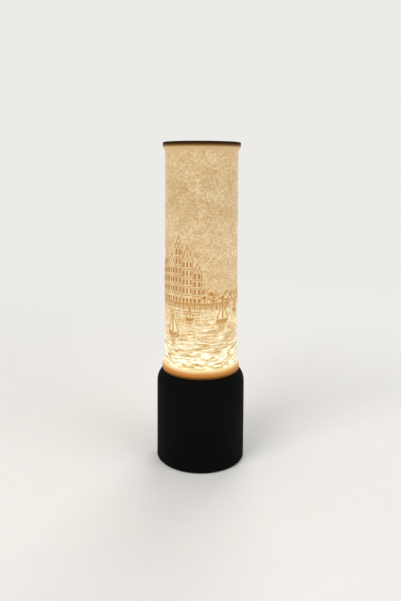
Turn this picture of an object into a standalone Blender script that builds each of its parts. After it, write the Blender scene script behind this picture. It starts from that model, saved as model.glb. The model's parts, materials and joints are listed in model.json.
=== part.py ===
"""A night light: a relief tube that glows, standing on a tall round base that hides its lamp holder.

Lengths are metres and +Z is up. The origin is the middle of the footprint on the table and the
front faces -Y. The switch and the mains inlet share a flat on the back of the base, at +Y.
"""

import math

import bmesh
import bpy
from mathutils import Vector

# Clearances and shared workshop values
FIT_GAP = 0.0003  # between any two pieces that touch
OVERRUN = 0.002  # how far a cutter passes the wall it cuts
WELD = 0.000001
LEAST_MITRE_SHARE = 0.3  # keeps a strip's sharpest corner from running to a spike
LARGE_STEPS = 56
MEDIUM_STEPS = 24
SMALL_STEPS = 12
CURVE_STEPS = 6
CORNER_STEPS = 4
GLOBE_STEPS = 9

# Shade: a printed tube with a bead round each end
SHADE_RADIUS = 0.040
SHADE_WALL = 0.003
SHADE_HEIGHT = 0.2485
BEAD_PROUD = 0.00225
BEAD_FACE = 0.0046
BEAD_FLARE = 0.005
BEAD_EDGE = 0.0006

# Base shell
BASE_HEIGHT = 0.098  # table to the seat of the shade
BASE_WALL = 0.003
SEAT_MARGIN = 0.00025  # flat left outside the bead
SHOULDER_WIDTH = 0.0055
SHOULDER_RADIUS = 0.018
BASE_EDGE = 0.0012
COLLAR_HEIGHT = 0.006
COLLAR_WALL = 0.0024
COLLAR_EDGE = 0.0006
REAR_FLAT_DEPTH = 0.006
REAR_FLAT_BOTTOM = 0.014
REAR_FLAT_HEIGHT = 0.066

# Underside: cover, feet, weight and their fasteners
COVER_THICKNESS = 0.0035
COVER_EDGE = 0.0005
COVER_RIM_HEIGHT = 0.0025
COVER_RIM_WALL = 0.0016
FOOT_RADIUS = 0.006
FOOT_STAND_OFF = 0.001
FOOT_RECESS = 0.001
FOOT_EDGE = 0.0004
FOOT_INSET = 0.018  # from the wall's inner face to the foot's axis
FOOT_COUNT = 4
BOSS_RADIUS = 0.004
BOSS_HEIGHT = 0.014
BOSS_INSET = 0.0055  # from the wall's inner face to the boss's axis
BOSS_WEB = 0.004
PILOT_DEPTH = 0.0125
SCREW_RADIUS = 0.0015
SCREW_HEAD_RADIUS = 0.0028
SCREW_HEAD_HEIGHT = 0.0016
SCREW_HEAD_EDGE = 0.0004
COVER_SCREW_LENGTH = 0.011
COVER_SCREW_COUNT = 4
COVER_SCREW_TURN_SHARE = 0.5  # of a step, so that the screws lie between the feet
BALLAST_CLEARANCE = 0.0035  # between the ballast and the bosses
BALLAST_THICKNESS = 0.008
BALLAST_EDGE = 0.0008
BALLAST_BOLT_RADIUS = 0.0025
BALLAST_BOLT_HEAD_RADIUS = 0.0045
BALLAST_BOLT_END = 0.0012  # thread that shows past the nut
BALLAST_NUT_FLATS = 0.008
BALLAST_NUT_HEIGHT = 0.004

# Lamp holder for a small screw cap
SKIRT_RISE = 0.011
SKIRT_DROP = 0.026
SKIRT_WALL = 0.0024
SKIRT_EDGE = 0.0005
FLANGE_PROUD = 0.003
FLANGE_THICKNESS = 0.0025
RING_WIDTH = 0.0052
RING_HEIGHT = 0.007
RING_NOTCHES = 16
RING_NOTCH_DEPTH = 0.0007
RING_NOTCH_SHARES = ((0.0, 0.0), (0.5, 0.0), (0.6, 1.0), (0.9, 1.0))  # of a turn's step, of the depth
CORE_HEIGHT = 0.024
CORE_FLOOR = 0.004
CORE_WALL = 0.0033
SLEEVE_WALL = 0.00045
SLEEVE_HEIGHT = 0.0165
SLEEVE_STAND_OFF = 0.0022
TAIL_WIDTH = 0.003
TAIL_LENGTH = 0.006  # below the core
LEAF_THICKNESS = 0.0005
LEAF_WIDTH = 0.004
LEAF_REACH = 0.0033
LEAF_RISE = 0.0034
LEAF_FOLD_SHARE = 1 / 3  # of the rise, where the leaf's fold is widest
LEAF_TAIL_OFFSET = 0.0052
DOME_HEIGHT = 0.014
DOME_WALL = 0.002
DOME_SHOULDER = 0.0045
SPIGOT_HEIGHT = 0.0035
SPIGOT_WALL = 0.0015
NIPPLE_RADIUS = 0.0065
NIPPLE_LENGTH = 0.006
LEAD_BORE_RADIUS = 0.004

# Globe bulb with a small screw cap
CAP_RADIUS = 0.00695
CAP_WALL = 0.0006
CAP_HEIGHT = 0.018
EYELET_RADIUS = 0.0024
EYELET_HEIGHT = 0.0012
INSULATOR_HEIGHT = 0.0025
INSULATOR_TIP_RADIUS = 0.003
INSULATOR_PLUG = 0.0025
NECK_RADIUS = 0.0085
NECK_HEIGHT = 0.006
NECK_SPIGOT = 0.008
HOUSING_FLARE = 0.024
HOUSING_WALL = 0.002
GLOBE_RADIUS = 0.0225
GLOBE_WALL = 0.0012
GLOBE_RIM_DROP = 0.002  # how far the rim lies below the globe's middle
LED_BOARD_THICKNESS = 0.0016
LED_BOARD_LEDGE = 0.0014
DRIVER_WIDTH = 0.011
DRIVER_THICKNESS = 0.0016
DRIVER_HEIGHT = 0.014

# Rocker switch
SWITCH_RISE = 0.048  # above the bottom of the rear flat
SWITCH_WIDTH = 0.013
SWITCH_HEIGHT = 0.019
SWITCH_DEPTH = 0.013
SWITCH_WALL = 0.001
SWITCH_FLOOR = 0.0015
SWITCH_CORNER = 0.0008
BEZEL_LIP = 0.001
BEZEL_THICKNESS = 0.002
BEZEL_EDGE = 0.0004
LATCH_WIDTH = 0.006
LATCH_LENGTH = 0.0055
LATCH_PROUD = 0.0009
ROCKER_TILT = math.radians(10.0)
ROCKER_PIVOT_INSET = 0.0015  # below the bezel's face
ROCKER_HORN = math.radians(25.0)
ROCKER_HEEL = math.radians(-12.0)
ROCKER_DISH = 0.0014
ROCKER_DISH_SHARE = 0.75  # of the dish's depth, half way along each wing
ROCKER_HUB_DEPTH = 0.0045
ROCKER_HUB_WIDTH = 0.005
TRUNNION_RADIUS = 0.0011
TRUNNION_LENGTH = 0.0009
BLADE_WIDTH = 0.0048
BLADE_THICKNESS = 0.0008
BLADE_LENGTH = 0.0075
BLADE_INSIDE = 0.001
BLADE_OFFSET = 0.0045

# Two-pin appliance inlet
INLET_RISE = 0.014  # above the bottom of the rear flat
INLET_WIDTH = 0.0204
INLET_HEIGHT = 0.012
INLET_DEPTH = 0.015
INLET_CORNER = 0.0015
INLET_FLANGE_WIDTH = 0.036
INLET_FLANGE_HEIGHT = 0.0148
INLET_FLANGE_CORNER = 0.0072
INLET_FLANGE_THICKNESS = 0.002
INLET_FLANGE_EDGE = 0.0004
SOCKET_WIDTH = 0.016
SOCKET_HEIGHT = 0.008
SOCKET_CORNER = 0.0039
SOCKET_DEPTH = 0.012
PIN_RADIUS = 0.0012
PIN_PITCH = 0.0086
PIN_TIP_INSET = 0.002
PIN_TAIL = 0.005
INLET_SCREW_PITCH = 0.028
INLET_SCREW_LENGTH = 0.010
INLET_NUT_FLATS = 0.0055
INLET_NUT_HEIGHT = 0.0024

# Leads inside the base
LEAD_RADIUS = 0.0011
LEAD_BEND = 0.005
LEAD_SPREAD = 0.0018  # between a lead and the axis, in the nipple
LEAD_POINTS_PER_SPAN = 3

# Sizes that follow from those above
BEAD_RADIUS = SHADE_RADIUS + BEAD_PROUD
SHADE_BORE = SHADE_RADIUS - SHADE_WALL
SEAT_RADIUS = BEAD_RADIUS + SEAT_MARGIN
BASE_RADIUS = SEAT_RADIUS + SHOULDER_WIDTH
BASE_BORE = BASE_RADIUS - BASE_WALL
SHOULDER_TURN = math.acos(1 - SHOULDER_WIDTH / SHOULDER_RADIUS)
SHOULDER_Z = BASE_HEIGHT - SHOULDER_RADIUS * math.sin(SHOULDER_TURN)
REAR_FLAT_Y = BASE_RADIUS - REAR_FLAT_DEPTH
REAR_PANEL_Y = REAR_FLAT_Y - BASE_WALL
COVER_TOP = FOOT_STAND_OFF + COVER_THICKNESS
BOSS_CIRCLE_RADIUS = BASE_BORE - BOSS_INSET
BOSS_BOTTOM = COVER_TOP + FIT_GAP
BALLAST_RADIUS = BOSS_CIRCLE_RADIUS - BOSS_RADIUS - BALLAST_CLEARANCE
FOOT_CIRCLE_RADIUS = BASE_BORE - FOOT_INSET
SCREW_HOLE_RADIUS = SCREW_RADIUS + FIT_GAP
SLEEVE_BORE = CAP_RADIUS + FIT_GAP
SLEEVE_RADIUS = SLEEVE_BORE + SLEEVE_WALL
CORE_BORE = SLEEVE_RADIUS + FIT_GAP
CORE_RADIUS = CORE_BORE + CORE_WALL
SKIRT_BORE = CORE_RADIUS + FIT_GAP
SKIRT_RADIUS = SKIRT_BORE + SKIRT_WALL
HOLDER_HOLE_RADIUS = SKIRT_RADIUS + FIT_GAP
SKIRT_BOTTOM = BASE_HEIGHT - SKIRT_DROP
CORE_BOTTOM = SKIRT_BOTTOM + SPIGOT_HEIGHT + FIT_GAP
CORE_SEAT = CORE_BOTTOM + CORE_FLOOR
LEAF_TOP = CORE_SEAT + FIT_GAP + LEAF_RISE
TAIL_BOTTOM = CORE_BOTTOM - TAIL_LENGTH
DOME_BOTTOM = SKIRT_BOTTOM - DOME_HEIGHT
NIPPLE_BOTTOM = DOME_BOTTOM - NIPPLE_LENGTH
BULB_TIP = LEAF_TOP + FIT_GAP
CAP_BORE = CAP_RADIUS - CAP_WALL
CAP_BOTTOM = EYELET_HEIGHT + INSULATOR_HEIGHT + 2 * FIT_GAP
HOUSING_BOTTOM = CAP_BOTTOM + CAP_HEIGHT + FIT_GAP
HOUSING_TOP = HOUSING_BOTTOM + NECK_HEIGHT + HOUSING_FLARE
GLOBE_CENTRE = HOUSING_TOP + FIT_GAP + GLOBE_RIM_DROP
GLOBE_RIM_RADIUS = math.sqrt(GLOBE_RADIUS**2 - GLOBE_RIM_DROP**2)
SWITCH_Z = REAR_FLAT_BOTTOM + SWITCH_RISE
INLET_Z = REAR_FLAT_BOTTOM + INLET_RISE
BEZEL_FRONT = FIT_GAP + BEZEL_THICKNESS
SWITCH_BACK = FIT_GAP - SWITCH_DEPTH
ROCKER_PIVOT = BEZEL_FRONT - ROCKER_PIVOT_INSET
INLET_FRONT = FIT_GAP + INLET_FLANGE_THICKNESS
INLET_BACK = FIT_GAP - INLET_DEPTH

# Finish of each kind of surface: colour, roughness, metallic
FINISHES = {
    "printed_black": ((0.012, 0.012, 0.012), 0.78, 0.0),
    "printed_warm_white": ((0.82, 0.70, 0.50), 0.55, 0.0),
    "opal": ((0.93, 0.90, 0.84), 0.35, 0.0),
    "white_plastic": ((0.80, 0.80, 0.78), 0.40, 0.0),
    "black_plastic": ((0.020, 0.020, 0.022), 0.35, 0.0),
    "phenolic": ((0.030, 0.026, 0.024), 0.45, 0.0),
    "rubber": ((0.025, 0.025, 0.025), 0.85, 0.0),
    "steel": ((0.55, 0.56, 0.58), 0.35, 1.0),
    "zinc": ((0.62, 0.63, 0.65), 0.30, 1.0),
    "nickel": ((0.66, 0.64, 0.60), 0.22, 1.0),
    "brass": ((0.72, 0.54, 0.26), 0.28, 1.0),
    "circuit_board": ((0.10, 0.28, 0.16), 0.50, 0.0),
    "lead_brown": ((0.20, 0.09, 0.04), 0.50, 0.0),
    "lead_blue": ((0.05, 0.12, 0.40), 0.50, 0.0),
}


def clear_scene():
    for old in list(bpy.data.objects):
        bpy.data.objects.remove(old, do_unlink=True)


def own_material(name, finish):
    colour, roughness, metallic = FINISHES[finish]
    made = bpy.data.materials.new(name)
    made.use_nodes = True
    shader = made.node_tree.nodes["Principled BSDF"]
    shader.inputs["Base Color"].default_value = (*colour, 1.0)
    shader.inputs["Roughness"].default_value = roughness
    shader.inputs["Metallic"].default_value = metallic
    return made


def piece(name, bm, finish=None, parent=None):
    """One object from a bmesh. Without a finish it is a helper that only cuts or joins."""
    bmesh.ops.remove_doubles(bm, verts=bm.verts, dist=WELD)
    bmesh.ops.recalc_face_normals(bm, faces=bm.faces)
    mesh = bpy.data.meshes.new(name)
    bm.to_mesh(mesh)
    bm.free()
    obj = bpy.data.objects.new(name, mesh)
    bpy.context.scene.collection.objects.link(obj)
    obj.parent = parent
    if finish:
        mesh.materials.append(own_material(name, finish))
        mesh.shade_smooth()
        mesh.set_sharp_from_angle(angle=math.radians(30.0))
    else:
        obj.hide_render = True
        obj.display_type = "WIRE"
    return obj


def anchor(name, location, rotation=(0.0, 0.0, 0.0)):
    empty = bpy.data.objects.new(name, None)
    empty.location = location
    empty.rotation_euler = rotation
    bpy.context.scene.collection.objects.link(empty)
    return empty


def rear_anchor(name, height):
    """An empty on the rear flat: its x and y run across and up as seen from behind, z points out."""
    return anchor(name, (0.0, REAR_FLAT_Y, height), (math.pi / 2, 0.0, math.pi))


def change(obj, helper, operation):
    modifier = obj.modifiers.new(helper.name, "BOOLEAN")
    modifier.operation = operation
    modifier.object = helper
    modifier.solver = "EXACT"


def cut(obj, *cutters):
    for cutter in cutters:
        change(obj, cutter, "DIFFERENCE")


def join(obj, *additions):
    for addition in additions:
        change(obj, addition, "UNION")


def revolved(name, outline, steps, finish=None, parent=None):
    """Spins an outline of (radius, height) points round z. One that starts on the axis ends there."""
    bm = bmesh.new()
    points = [bm.verts.new((radius, 0.0, height)) for radius, height in outline]
    pairs = list(zip(points, points[1:]))
    if outline[0][0] > 0.0:
        pairs.append((points[-1], points[0]))
    edges = [bm.edges.new(pair) for pair in pairs]
    bmesh.ops.spin(
        bm,
        geom=points + edges,
        cent=(0.0, 0.0, 0.0),
        axis=(0.0, 0.0, 1.0),
        angle=math.tau,
        steps=steps,
        use_merge=True,
    )
    return piece(name, bm, finish, parent)


def peg(name, radius, bottom, top, steps=SMALL_STEPS, finish=None, parent=None):
    outline = [(0.0, bottom), (radius, bottom), (radius, top), (0.0, top)]
    return revolved(name, outline, steps, finish, parent)


def lofted(name, sections, finish=None, parent=None):
    """Skins closed rings of equally many points, given as (points, height), and caps both ends."""
    bm = bmesh.new()
    rings = [[bm.verts.new((x, y, height)) for x, y in points] for points, height in sections]
    bm.faces.new(rings[0])
    bm.faces.new(rings[-1])
    for lower, upper in zip(rings, rings[1:]):
        for i in range(len(lower)):
            bm.faces.new((lower[i - 1], lower[i], upper[i], upper[i - 1]))
    return piece(name, bm, finish, parent)


def block(name, low, high, finish=None, parent=None):
    corners = [(low[0], low[1]), (high[0], low[1]), (high[0], high[1]), (low[0], high[1])]
    return lofted(name, [(corners, low[2]), (corners, high[2])], finish, parent)


def crosswise(name, outline, half_width, finish=None, parent=None):
    """Extrudes an outline of (y, z) points along x, to half_width on each side."""
    bm = bmesh.new()
    face = bm.faces.new([bm.verts.new((-half_width, y, z)) for y, z in outline])
    grown = bmesh.ops.extrude_face_region(bm, geom=[face])
    moved = [item for item in grown["geom"] if isinstance(item, bmesh.types.BMVert)]
    bmesh.ops.translate(bm, verts=moved, vec=(2 * half_width, 0.0, 0.0))
    return piece(name, bm, finish, parent)


def rounded_rectangle(width, height, radius, steps=CORNER_STEPS):
    points = []
    for quarter, (side, end) in enumerate(((1, 1), (-1, 1), (-1, -1), (1, -1))):
        for step in range(steps + 1):
            angle = (quarter + step / steps) * math.pi / 2
            x = side * (width / 2 - radius) + radius * math.cos(angle)
            y = end * (height / 2 - radius) + radius * math.sin(angle)
            points.append((x, y))
    return points


def hexagon(across_flats):
    radius = across_flats / 2 / math.cos(math.pi / 6)
    return [(radius * math.cos(i * math.pi / 3), radius * math.sin(i * math.pi / 3)) for i in range(6)]


def arc(centre, radius, start, end, steps=CURVE_STEPS):
    """Points of an arc in an outline of (radius, height) points, angles from the level outward line."""
    turns = [start + (end - start) * step / steps for step in range(steps + 1)]
    return [(centre[0] + radius * math.cos(a), centre[1] + radius * math.sin(a)) for a in turns]


def on_circle(radius, index, count, first_share=0.0):
    angle = math.tau * (index + first_share) / count
    return radius * math.cos(angle), radius * math.sin(angle)


def strip_outline(middle, thickness):
    """The two sides of a bent strip whose middle line is given."""
    line = [Vector(point) for point in middle]
    left, right = [], []
    for i, point in enumerate(line):
        before = (point - line[i - 1]).normalized() if i else None
        after = (line[i + 1] - point).normalized() if i + 1 < len(line) else None
        along = ((before or after) + (after or before)).normalized()
        square = Vector((-along.y, along.x))
        spread = thickness / 2 / max(along.dot(after or before), LEAST_MITRE_SHARE)
        left.append(tuple(point + square * spread))
        right.append(tuple(point - square * spread))
    return left + right[::-1]


# Shade


def bead_outline():
    """The outer side of the bead at z = 0, from its end face up to the plain wall."""
    flare = []
    for step in range(CURVE_STEPS + 1):
        share = step / CURVE_STEPS
        rise = BEAD_FACE + BEAD_FLARE * share
        flare.append((SHADE_RADIUS + BEAD_PROUD * (1 + math.cos(math.pi * share)) / 2, rise))
    return [(BEAD_RADIUS - BEAD_EDGE, 0.0), (BEAD_RADIUS, BEAD_EDGE)] + flare


def shade_tube():
    bead = bead_outline()
    far_bead = [(radius, SHADE_HEIGHT - height) for radius, height in reversed(bead)]
    inner = [
        (SHADE_BORE + BEAD_EDGE, SHADE_HEIGHT),
        (SHADE_BORE, SHADE_HEIGHT - BEAD_EDGE),
        (SHADE_BORE, BEAD_EDGE),
        (SHADE_BORE + BEAD_EDGE, 0.0),
    ]
    seat = anchor("shade_seat", (0.0, 0.0, BASE_HEIGHT + FIT_GAP))
    revolved("shade_tube", bead + far_bead + inner, LARGE_STEPS, "printed_warm_white", seat)


# Base shell


def base_outer_outline():
    collar_radius = SHADE_BORE - FIT_GAP
    collar_bore = collar_radius - COLLAR_WALL
    collar_top = BASE_HEIGHT + COLLAR_HEIGHT
    edge_centre = (BASE_RADIUS - BASE_EDGE, FOOT_STAND_OFF + BASE_EDGE)
    shoulder_centre = (BASE_RADIUS - SHOULDER_RADIUS, SHOULDER_Z)
    return (
        [(0.0, FOOT_STAND_OFF)]
        + arc(edge_centre, BASE_EDGE, -math.pi / 2, 0.0, CURVE_STEPS // 2)
        + arc(shoulder_centre, SHOULDER_RADIUS, 0.0, SHOULDER_TURN)
        + [
            (collar_radius, BASE_HEIGHT),
            (collar_radius, collar_top - COLLAR_EDGE),
            (collar_radius - COLLAR_EDGE, collar_top),
            (collar_bore, collar_top),
            (collar_bore, BASE_HEIGHT),
            (0.0, BASE_HEIGHT),
        ]
    )


def base_cavity():
    """The room inside the base: it leaves the screw bosses, their webs and the rear panel standing."""
    roof = BASE_HEIGHT - BASE_WALL
    inner_radius = SHOULDER_RADIUS - BASE_WALL
    turn = math.asin((roof - SHOULDER_Z) / inner_radius)
    outline = (
        [(0.0, FOOT_STAND_OFF - OVERRUN), (BASE_BORE, FOOT_STAND_OFF - OVERRUN)]
        + arc((BASE_RADIUS - SHOULDER_RADIUS, SHOULDER_Z), inner_radius, 0.0, turn)
        + [(0.0, roof)]
    )
    room = revolved("base_room", outline, LARGE_STEPS)
    panel_low = (-BASE_RADIUS, REAR_PANEL_Y, REAR_FLAT_BOTTOM - BASE_WALL)
    panel_high = (BASE_RADIUS, BASE_RADIUS, REAR_FLAT_BOTTOM + REAR_FLAT_HEIGHT + BASE_WALL)
    cut(room, block("rear_panel_keep", panel_low, panel_high))
    for index in range(COVER_SCREW_COUNT):
        x, y = on_circle(BOSS_CIRCLE_RADIUS, index, COVER_SCREW_COUNT, COVER_SCREW_TURN_SHARE)
        turned = anchor(f"boss_{index + 1}", (x, y, BOSS_BOTTOM), (0.0, 0.0, math.atan2(y, x)))
        web_low = (0.0, -BOSS_WEB / 2, 0.0)
        web_high = (BOSS_INSET + BASE_WALL / 2, BOSS_WEB / 2, BOSS_HEIGHT)
        boss = peg(f"boss_keep_{index + 1}", BOSS_RADIUS, 0.0, BOSS_HEIGHT, SMALL_STEPS, None, turned)
        web = block(f"boss_web_keep_{index + 1}", web_low, web_high, None, turned)
        cut(room, boss, web)
    return room


def base_shell(switch_seat, inlet_seat):
    shell = revolved("base_shell", base_outer_outline(), LARGE_STEPS, "printed_black")
    flat_low = (-BASE_RADIUS, REAR_FLAT_Y, REAR_FLAT_BOTTOM)
    flat_high = (BASE_RADIUS, BASE_RADIUS + OVERRUN, REAR_FLAT_BOTTOM + REAR_FLAT_HEIGHT)
    roof = BASE_HEIGHT - BASE_WALL
    cut(
        shell,
        base_cavity(),
        block("rear_flat_cut", flat_low, flat_high),
        peg("holder_hole_cut", HOLDER_HOLE_RADIUS, roof - OVERRUN, BASE_HEIGHT + OVERRUN, MEDIUM_STEPS),
        window_cutter("switch_window_cut", SWITCH_WIDTH, SWITCH_HEIGHT, SWITCH_CORNER, switch_seat),
        window_cutter("inlet_window_cut", INLET_WIDTH, INLET_HEIGHT, INLET_CORNER, inlet_seat),
    )
    for index, x in enumerate((-INLET_SCREW_PITCH / 2, INLET_SCREW_PITCH / 2), 1):
        hole = peg(f"panel_hole_cut_{index}", SCREW_HOLE_RADIUS, -BASE_WALL - OVERRUN, OVERRUN)
        hole.parent = inlet_seat
        hole.location.x = x
        cut(shell, hole)
    for index in range(COVER_SCREW_COUNT):
        top = BOSS_BOTTOM + PILOT_DEPTH
        hole = peg(f"pilot_cut_{index + 1}", SCREW_HOLE_RADIUS, BOSS_BOTTOM - OVERRUN, top)
        hole.location.xy = on_circle(BOSS_CIRCLE_RADIUS, index, COVER_SCREW_COUNT, COVER_SCREW_TURN_SHARE)
        cut(shell, hole)


def window_cutter(name, width, height, corner, seat):
    """A hole through the rear panel that a body of this outline passes with the fit gap."""
    outline = rounded_rectangle(width + 2 * FIT_GAP, height + 2 * FIT_GAP, corner + FIT_GAP)
    return lofted(name, [(outline, -BASE_WALL - OVERRUN), (outline, OVERRUN)], None, seat)


# Underside


def bottom_cover():
    radius = BASE_BORE - FIT_GAP
    rim_bore = BALLAST_RADIUS + FIT_GAP
    rim_top = COVER_TOP + COVER_RIM_HEIGHT
    outline = [
        (0.0, FOOT_STAND_OFF),
        (radius - COVER_EDGE, FOOT_STAND_OFF),
        (radius, FOOT_STAND_OFF + COVER_EDGE),
        (radius, COVER_TOP),
        (rim_bore + COVER_RIM_WALL, COVER_TOP),
        (rim_bore + COVER_RIM_WALL, rim_top),
        (rim_bore, rim_top),
        (rim_bore, COVER_TOP),
        (0.0, COVER_TOP),
    ]
    cover = revolved("bottom_cover", outline, LARGE_STEPS, "printed_black")
    cut(cover, stepped_hole("ballast_hole_cut", BALLAST_BOLT_RADIUS, BALLAST_BOLT_HEAD_RADIUS))
    for index in range(COVER_SCREW_COUNT):
        hole = stepped_hole(f"cover_hole_cut_{index + 1}", SCREW_RADIUS, SCREW_HEAD_RADIUS)
        hole.location.xy = on_circle(BOSS_CIRCLE_RADIUS, index, COVER_SCREW_COUNT, COVER_SCREW_TURN_SHARE)
        cut(cover, hole)
    for index in range(FOOT_COUNT):
        top = FOOT_STAND_OFF + FOOT_RECESS
        recess = peg(f"foot_recess_cut_{index + 1}", FOOT_RADIUS + FIT_GAP, -OVERRUN, top)
        recess.location.xy = on_circle(FOOT_CIRCLE_RADIUS, index, FOOT_COUNT)
        cut(cover, recess)


def stepped_hole(name, shank_radius, head_radius):
    """A screw hole up through the cover with a counterbore that hides the head."""
    shoulder = FOOT_STAND_OFF + SCREW_HEAD_HEIGHT + 2 * FIT_GAP
    wide = head_radius + FIT_GAP
    narrow = shank_radius + FIT_GAP
    low = FOOT_STAND_OFF - OVERRUN
    high = COVER_TOP + OVERRUN
    outline = [(0.0, low), (wide, low), (wide, shoulder), (narrow, shoulder), (narrow, high), (0.0, high)]
    return revolved(name, outline, SMALL_STEPS)


def screw(name, radius, head_radius, length, finish, parent=None):
    """A pan head screw that stands on its head: the head's flat face is at z = 0, the shank above."""
    outline = [
        (0.0, -SCREW_HEAD_HEIGHT),
        (head_radius - SCREW_HEAD_EDGE, -SCREW_HEAD_HEIGHT),
        (head_radius, SCREW_HEAD_EDGE - SCREW_HEAD_HEIGHT),
        (head_radius, 0.0),
        (radius, 0.0),
        (radius, length),
        (0.0, length),
    ]
    return revolved(name, outline, SMALL_STEPS, finish, parent)


def underside_fasteners():
    seat = FOOT_STAND_OFF + SCREW_HEAD_HEIGHT + FIT_GAP
    for index in range(COVER_SCREW_COUNT):
        name = f"cover_screw_{index + 1}"
        made = screw(name, SCREW_RADIUS, SCREW_HEAD_RADIUS, COVER_SCREW_LENGTH, "zinc")
        place = on_circle(BOSS_CIRCLE_RADIUS, index, COVER_SCREW_COUNT, COVER_SCREW_TURN_SHARE)
        made.location = (*place, seat)
    nut_bottom = COVER_TOP + BALLAST_THICKNESS + 2 * FIT_GAP
    bolt_length = nut_bottom + BALLAST_NUT_HEIGHT + BALLAST_BOLT_END - seat
    bolt = screw("ballast_bolt", BALLAST_BOLT_RADIUS, BALLAST_BOLT_HEAD_RADIUS, bolt_length, "zinc")
    bolt.location.z = seat
    nut("ballast_nut", BALLAST_NUT_FLATS, BALLAST_NUT_HEIGHT, BALLAST_BOLT_RADIUS).location.z = nut_bottom


def nut(name, across_flats, height, bolt_radius, parent=None):
    made = lofted(name, [(hexagon(across_flats), 0.0), (hexagon(across_flats), height)], "zinc", parent)
    bore = peg(f"{name}_bore_cut", bolt_radius + FIT_GAP, -OVERRUN, height + OVERRUN, SMALL_STEPS)
    bore.parent = made
    cut(made, bore)
    return made


def feet():
    height = FOOT_STAND_OFF + FOOT_RECESS - FIT_GAP
    outline = [
        (0.0, 0.0),
        (FOOT_RADIUS - FOOT_EDGE, 0.0),
        (FOOT_RADIUS, FOOT_EDGE),
        (FOOT_RADIUS, height),
        (0.0, height),
    ]
    for index in range(FOOT_COUNT):
        foot = revolved(f"foot_{index + 1}", outline, SMALL_STEPS, "rubber")
        foot.location.xy = on_circle(FOOT_CIRCLE_RADIUS, index, FOOT_COUNT)


def ballast_disc():
    bore = BALLAST_BOLT_RADIUS + FIT_GAP
    outline = [
        (bore, 0.0),
        (BALLAST_RADIUS - BALLAST_EDGE, 0.0),
        (BALLAST_RADIUS, BALLAST_EDGE),
        (BALLAST_RADIUS, BALLAST_THICKNESS - BALLAST_EDGE),
        (BALLAST_RADIUS - BALLAST_EDGE, BALLAST_THICKNESS),
        (bore, BALLAST_THICKNESS),
    ]
    disc = revolved("ballast_disc", outline, MEDIUM_STEPS, "steel")
    disc.location.z = COVER_TOP + FIT_GAP


# Lamp holder


def holder_skirt():
    flange_top = BASE_HEIGHT - BASE_WALL - FIT_GAP
    flange_bottom = flange_top - FLANGE_THICKNESS
    flange_radius = SKIRT_RADIUS + FLANGE_PROUD
    top = BASE_HEIGHT + SKIRT_RISE
    outline = [
        (SKIRT_BORE, SKIRT_BOTTOM),
        (SKIRT_RADIUS, SKIRT_BOTTOM),
        (SKIRT_RADIUS, flange_bottom),
        (flange_radius, flange_bottom),
        (flange_radius, flange_top),
        (SKIRT_RADIUS, flange_top),
        (SKIRT_RADIUS, top - SKIRT_EDGE),
        (SKIRT_RADIUS - SKIRT_EDGE, top),
        (SKIRT_BORE, top),
    ]
    revolved("holder_skirt", outline, MEDIUM_STEPS, "phenolic")


def holder_ring():
    """The notched ring that clamps the top of the base against the skirt's flange."""
    outer = []
    for index in range(RING_NOTCHES):
        for turn_share, depth_share in RING_NOTCH_SHARES:
            radius = HOLDER_HOLE_RADIUS + RING_WIDTH - RING_NOTCH_DEPTH * depth_share
            outer.append(on_circle(radius, index, RING_NOTCHES, turn_share))
    ring = lofted("holder_ring", [(outer, 0.0), (outer, RING_HEIGHT)], "phenolic")
    ring.location.z = BASE_HEIGHT + FIT_GAP
    bore = peg("ring_bore_cut", HOLDER_HOLE_RADIUS, -OVERRUN, RING_HEIGHT + OVERRUN, MEDIUM_STEPS)
    bore.parent = ring
    cut(ring, bore)


def holder_core():
    top = CORE_BOTTOM + CORE_HEIGHT
    outline = [
        (0.0, CORE_BOTTOM),
        (CORE_RADIUS, CORE_BOTTOM),
        (CORE_RADIUS, top),
        (CORE_BORE, top),
        (CORE_BORE, CORE_SEAT),
        (0.0, CORE_SEAT),
    ]
    core = revolved("holder_core", outline, MEDIUM_STEPS, "white_plastic")
    low = CORE_BOTTOM - OVERRUN
    high = CORE_SEAT + OVERRUN
    sleeve_half = TAIL_WIDTH / 2 + FIT_GAP
    leaf_half = LEAF_WIDTH / 2 + FIT_GAP
    leaf_in = LEAF_TAIL_OFFSET - LEAF_THICKNESS / 2 - FIT_GAP
    leaf_out = LEAF_TAIL_OFFSET + LEAF_THICKNESS / 2 + FIT_GAP
    slot_in = SLEEVE_BORE - FIT_GAP
    slot_out = CORE_BORE + FIT_GAP
    cut(
        core,
        block("sleeve_slot_cut", (-slot_out, -sleeve_half, low), (-slot_in, sleeve_half, high)),
        block("leaf_slot_cut", (leaf_in, -leaf_half, low), (leaf_out, leaf_half, high)),
    )


def holder_sleeve():
    """The screw shell of the holder, with a tail that goes down through the core to its lead."""
    bottom = CORE_SEAT + SLEEVE_STAND_OFF
    top = bottom + SLEEVE_HEIGHT
    outline = [(SLEEVE_BORE, bottom), (SLEEVE_RADIUS, bottom), (SLEEVE_RADIUS, top), (SLEEVE_BORE, top)]
    sleeve = revolved("holder_sleeve", outline, MEDIUM_STEPS, "nickel")
    tail_low = (-SLEEVE_RADIUS, -TAIL_WIDTH / 2, TAIL_BOTTOM)
    tail_high = (-SLEEVE_BORE, TAIL_WIDTH / 2, bottom + OVERRUN)
    join(sleeve, block("sleeve_tail_add", tail_low, tail_high))


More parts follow.
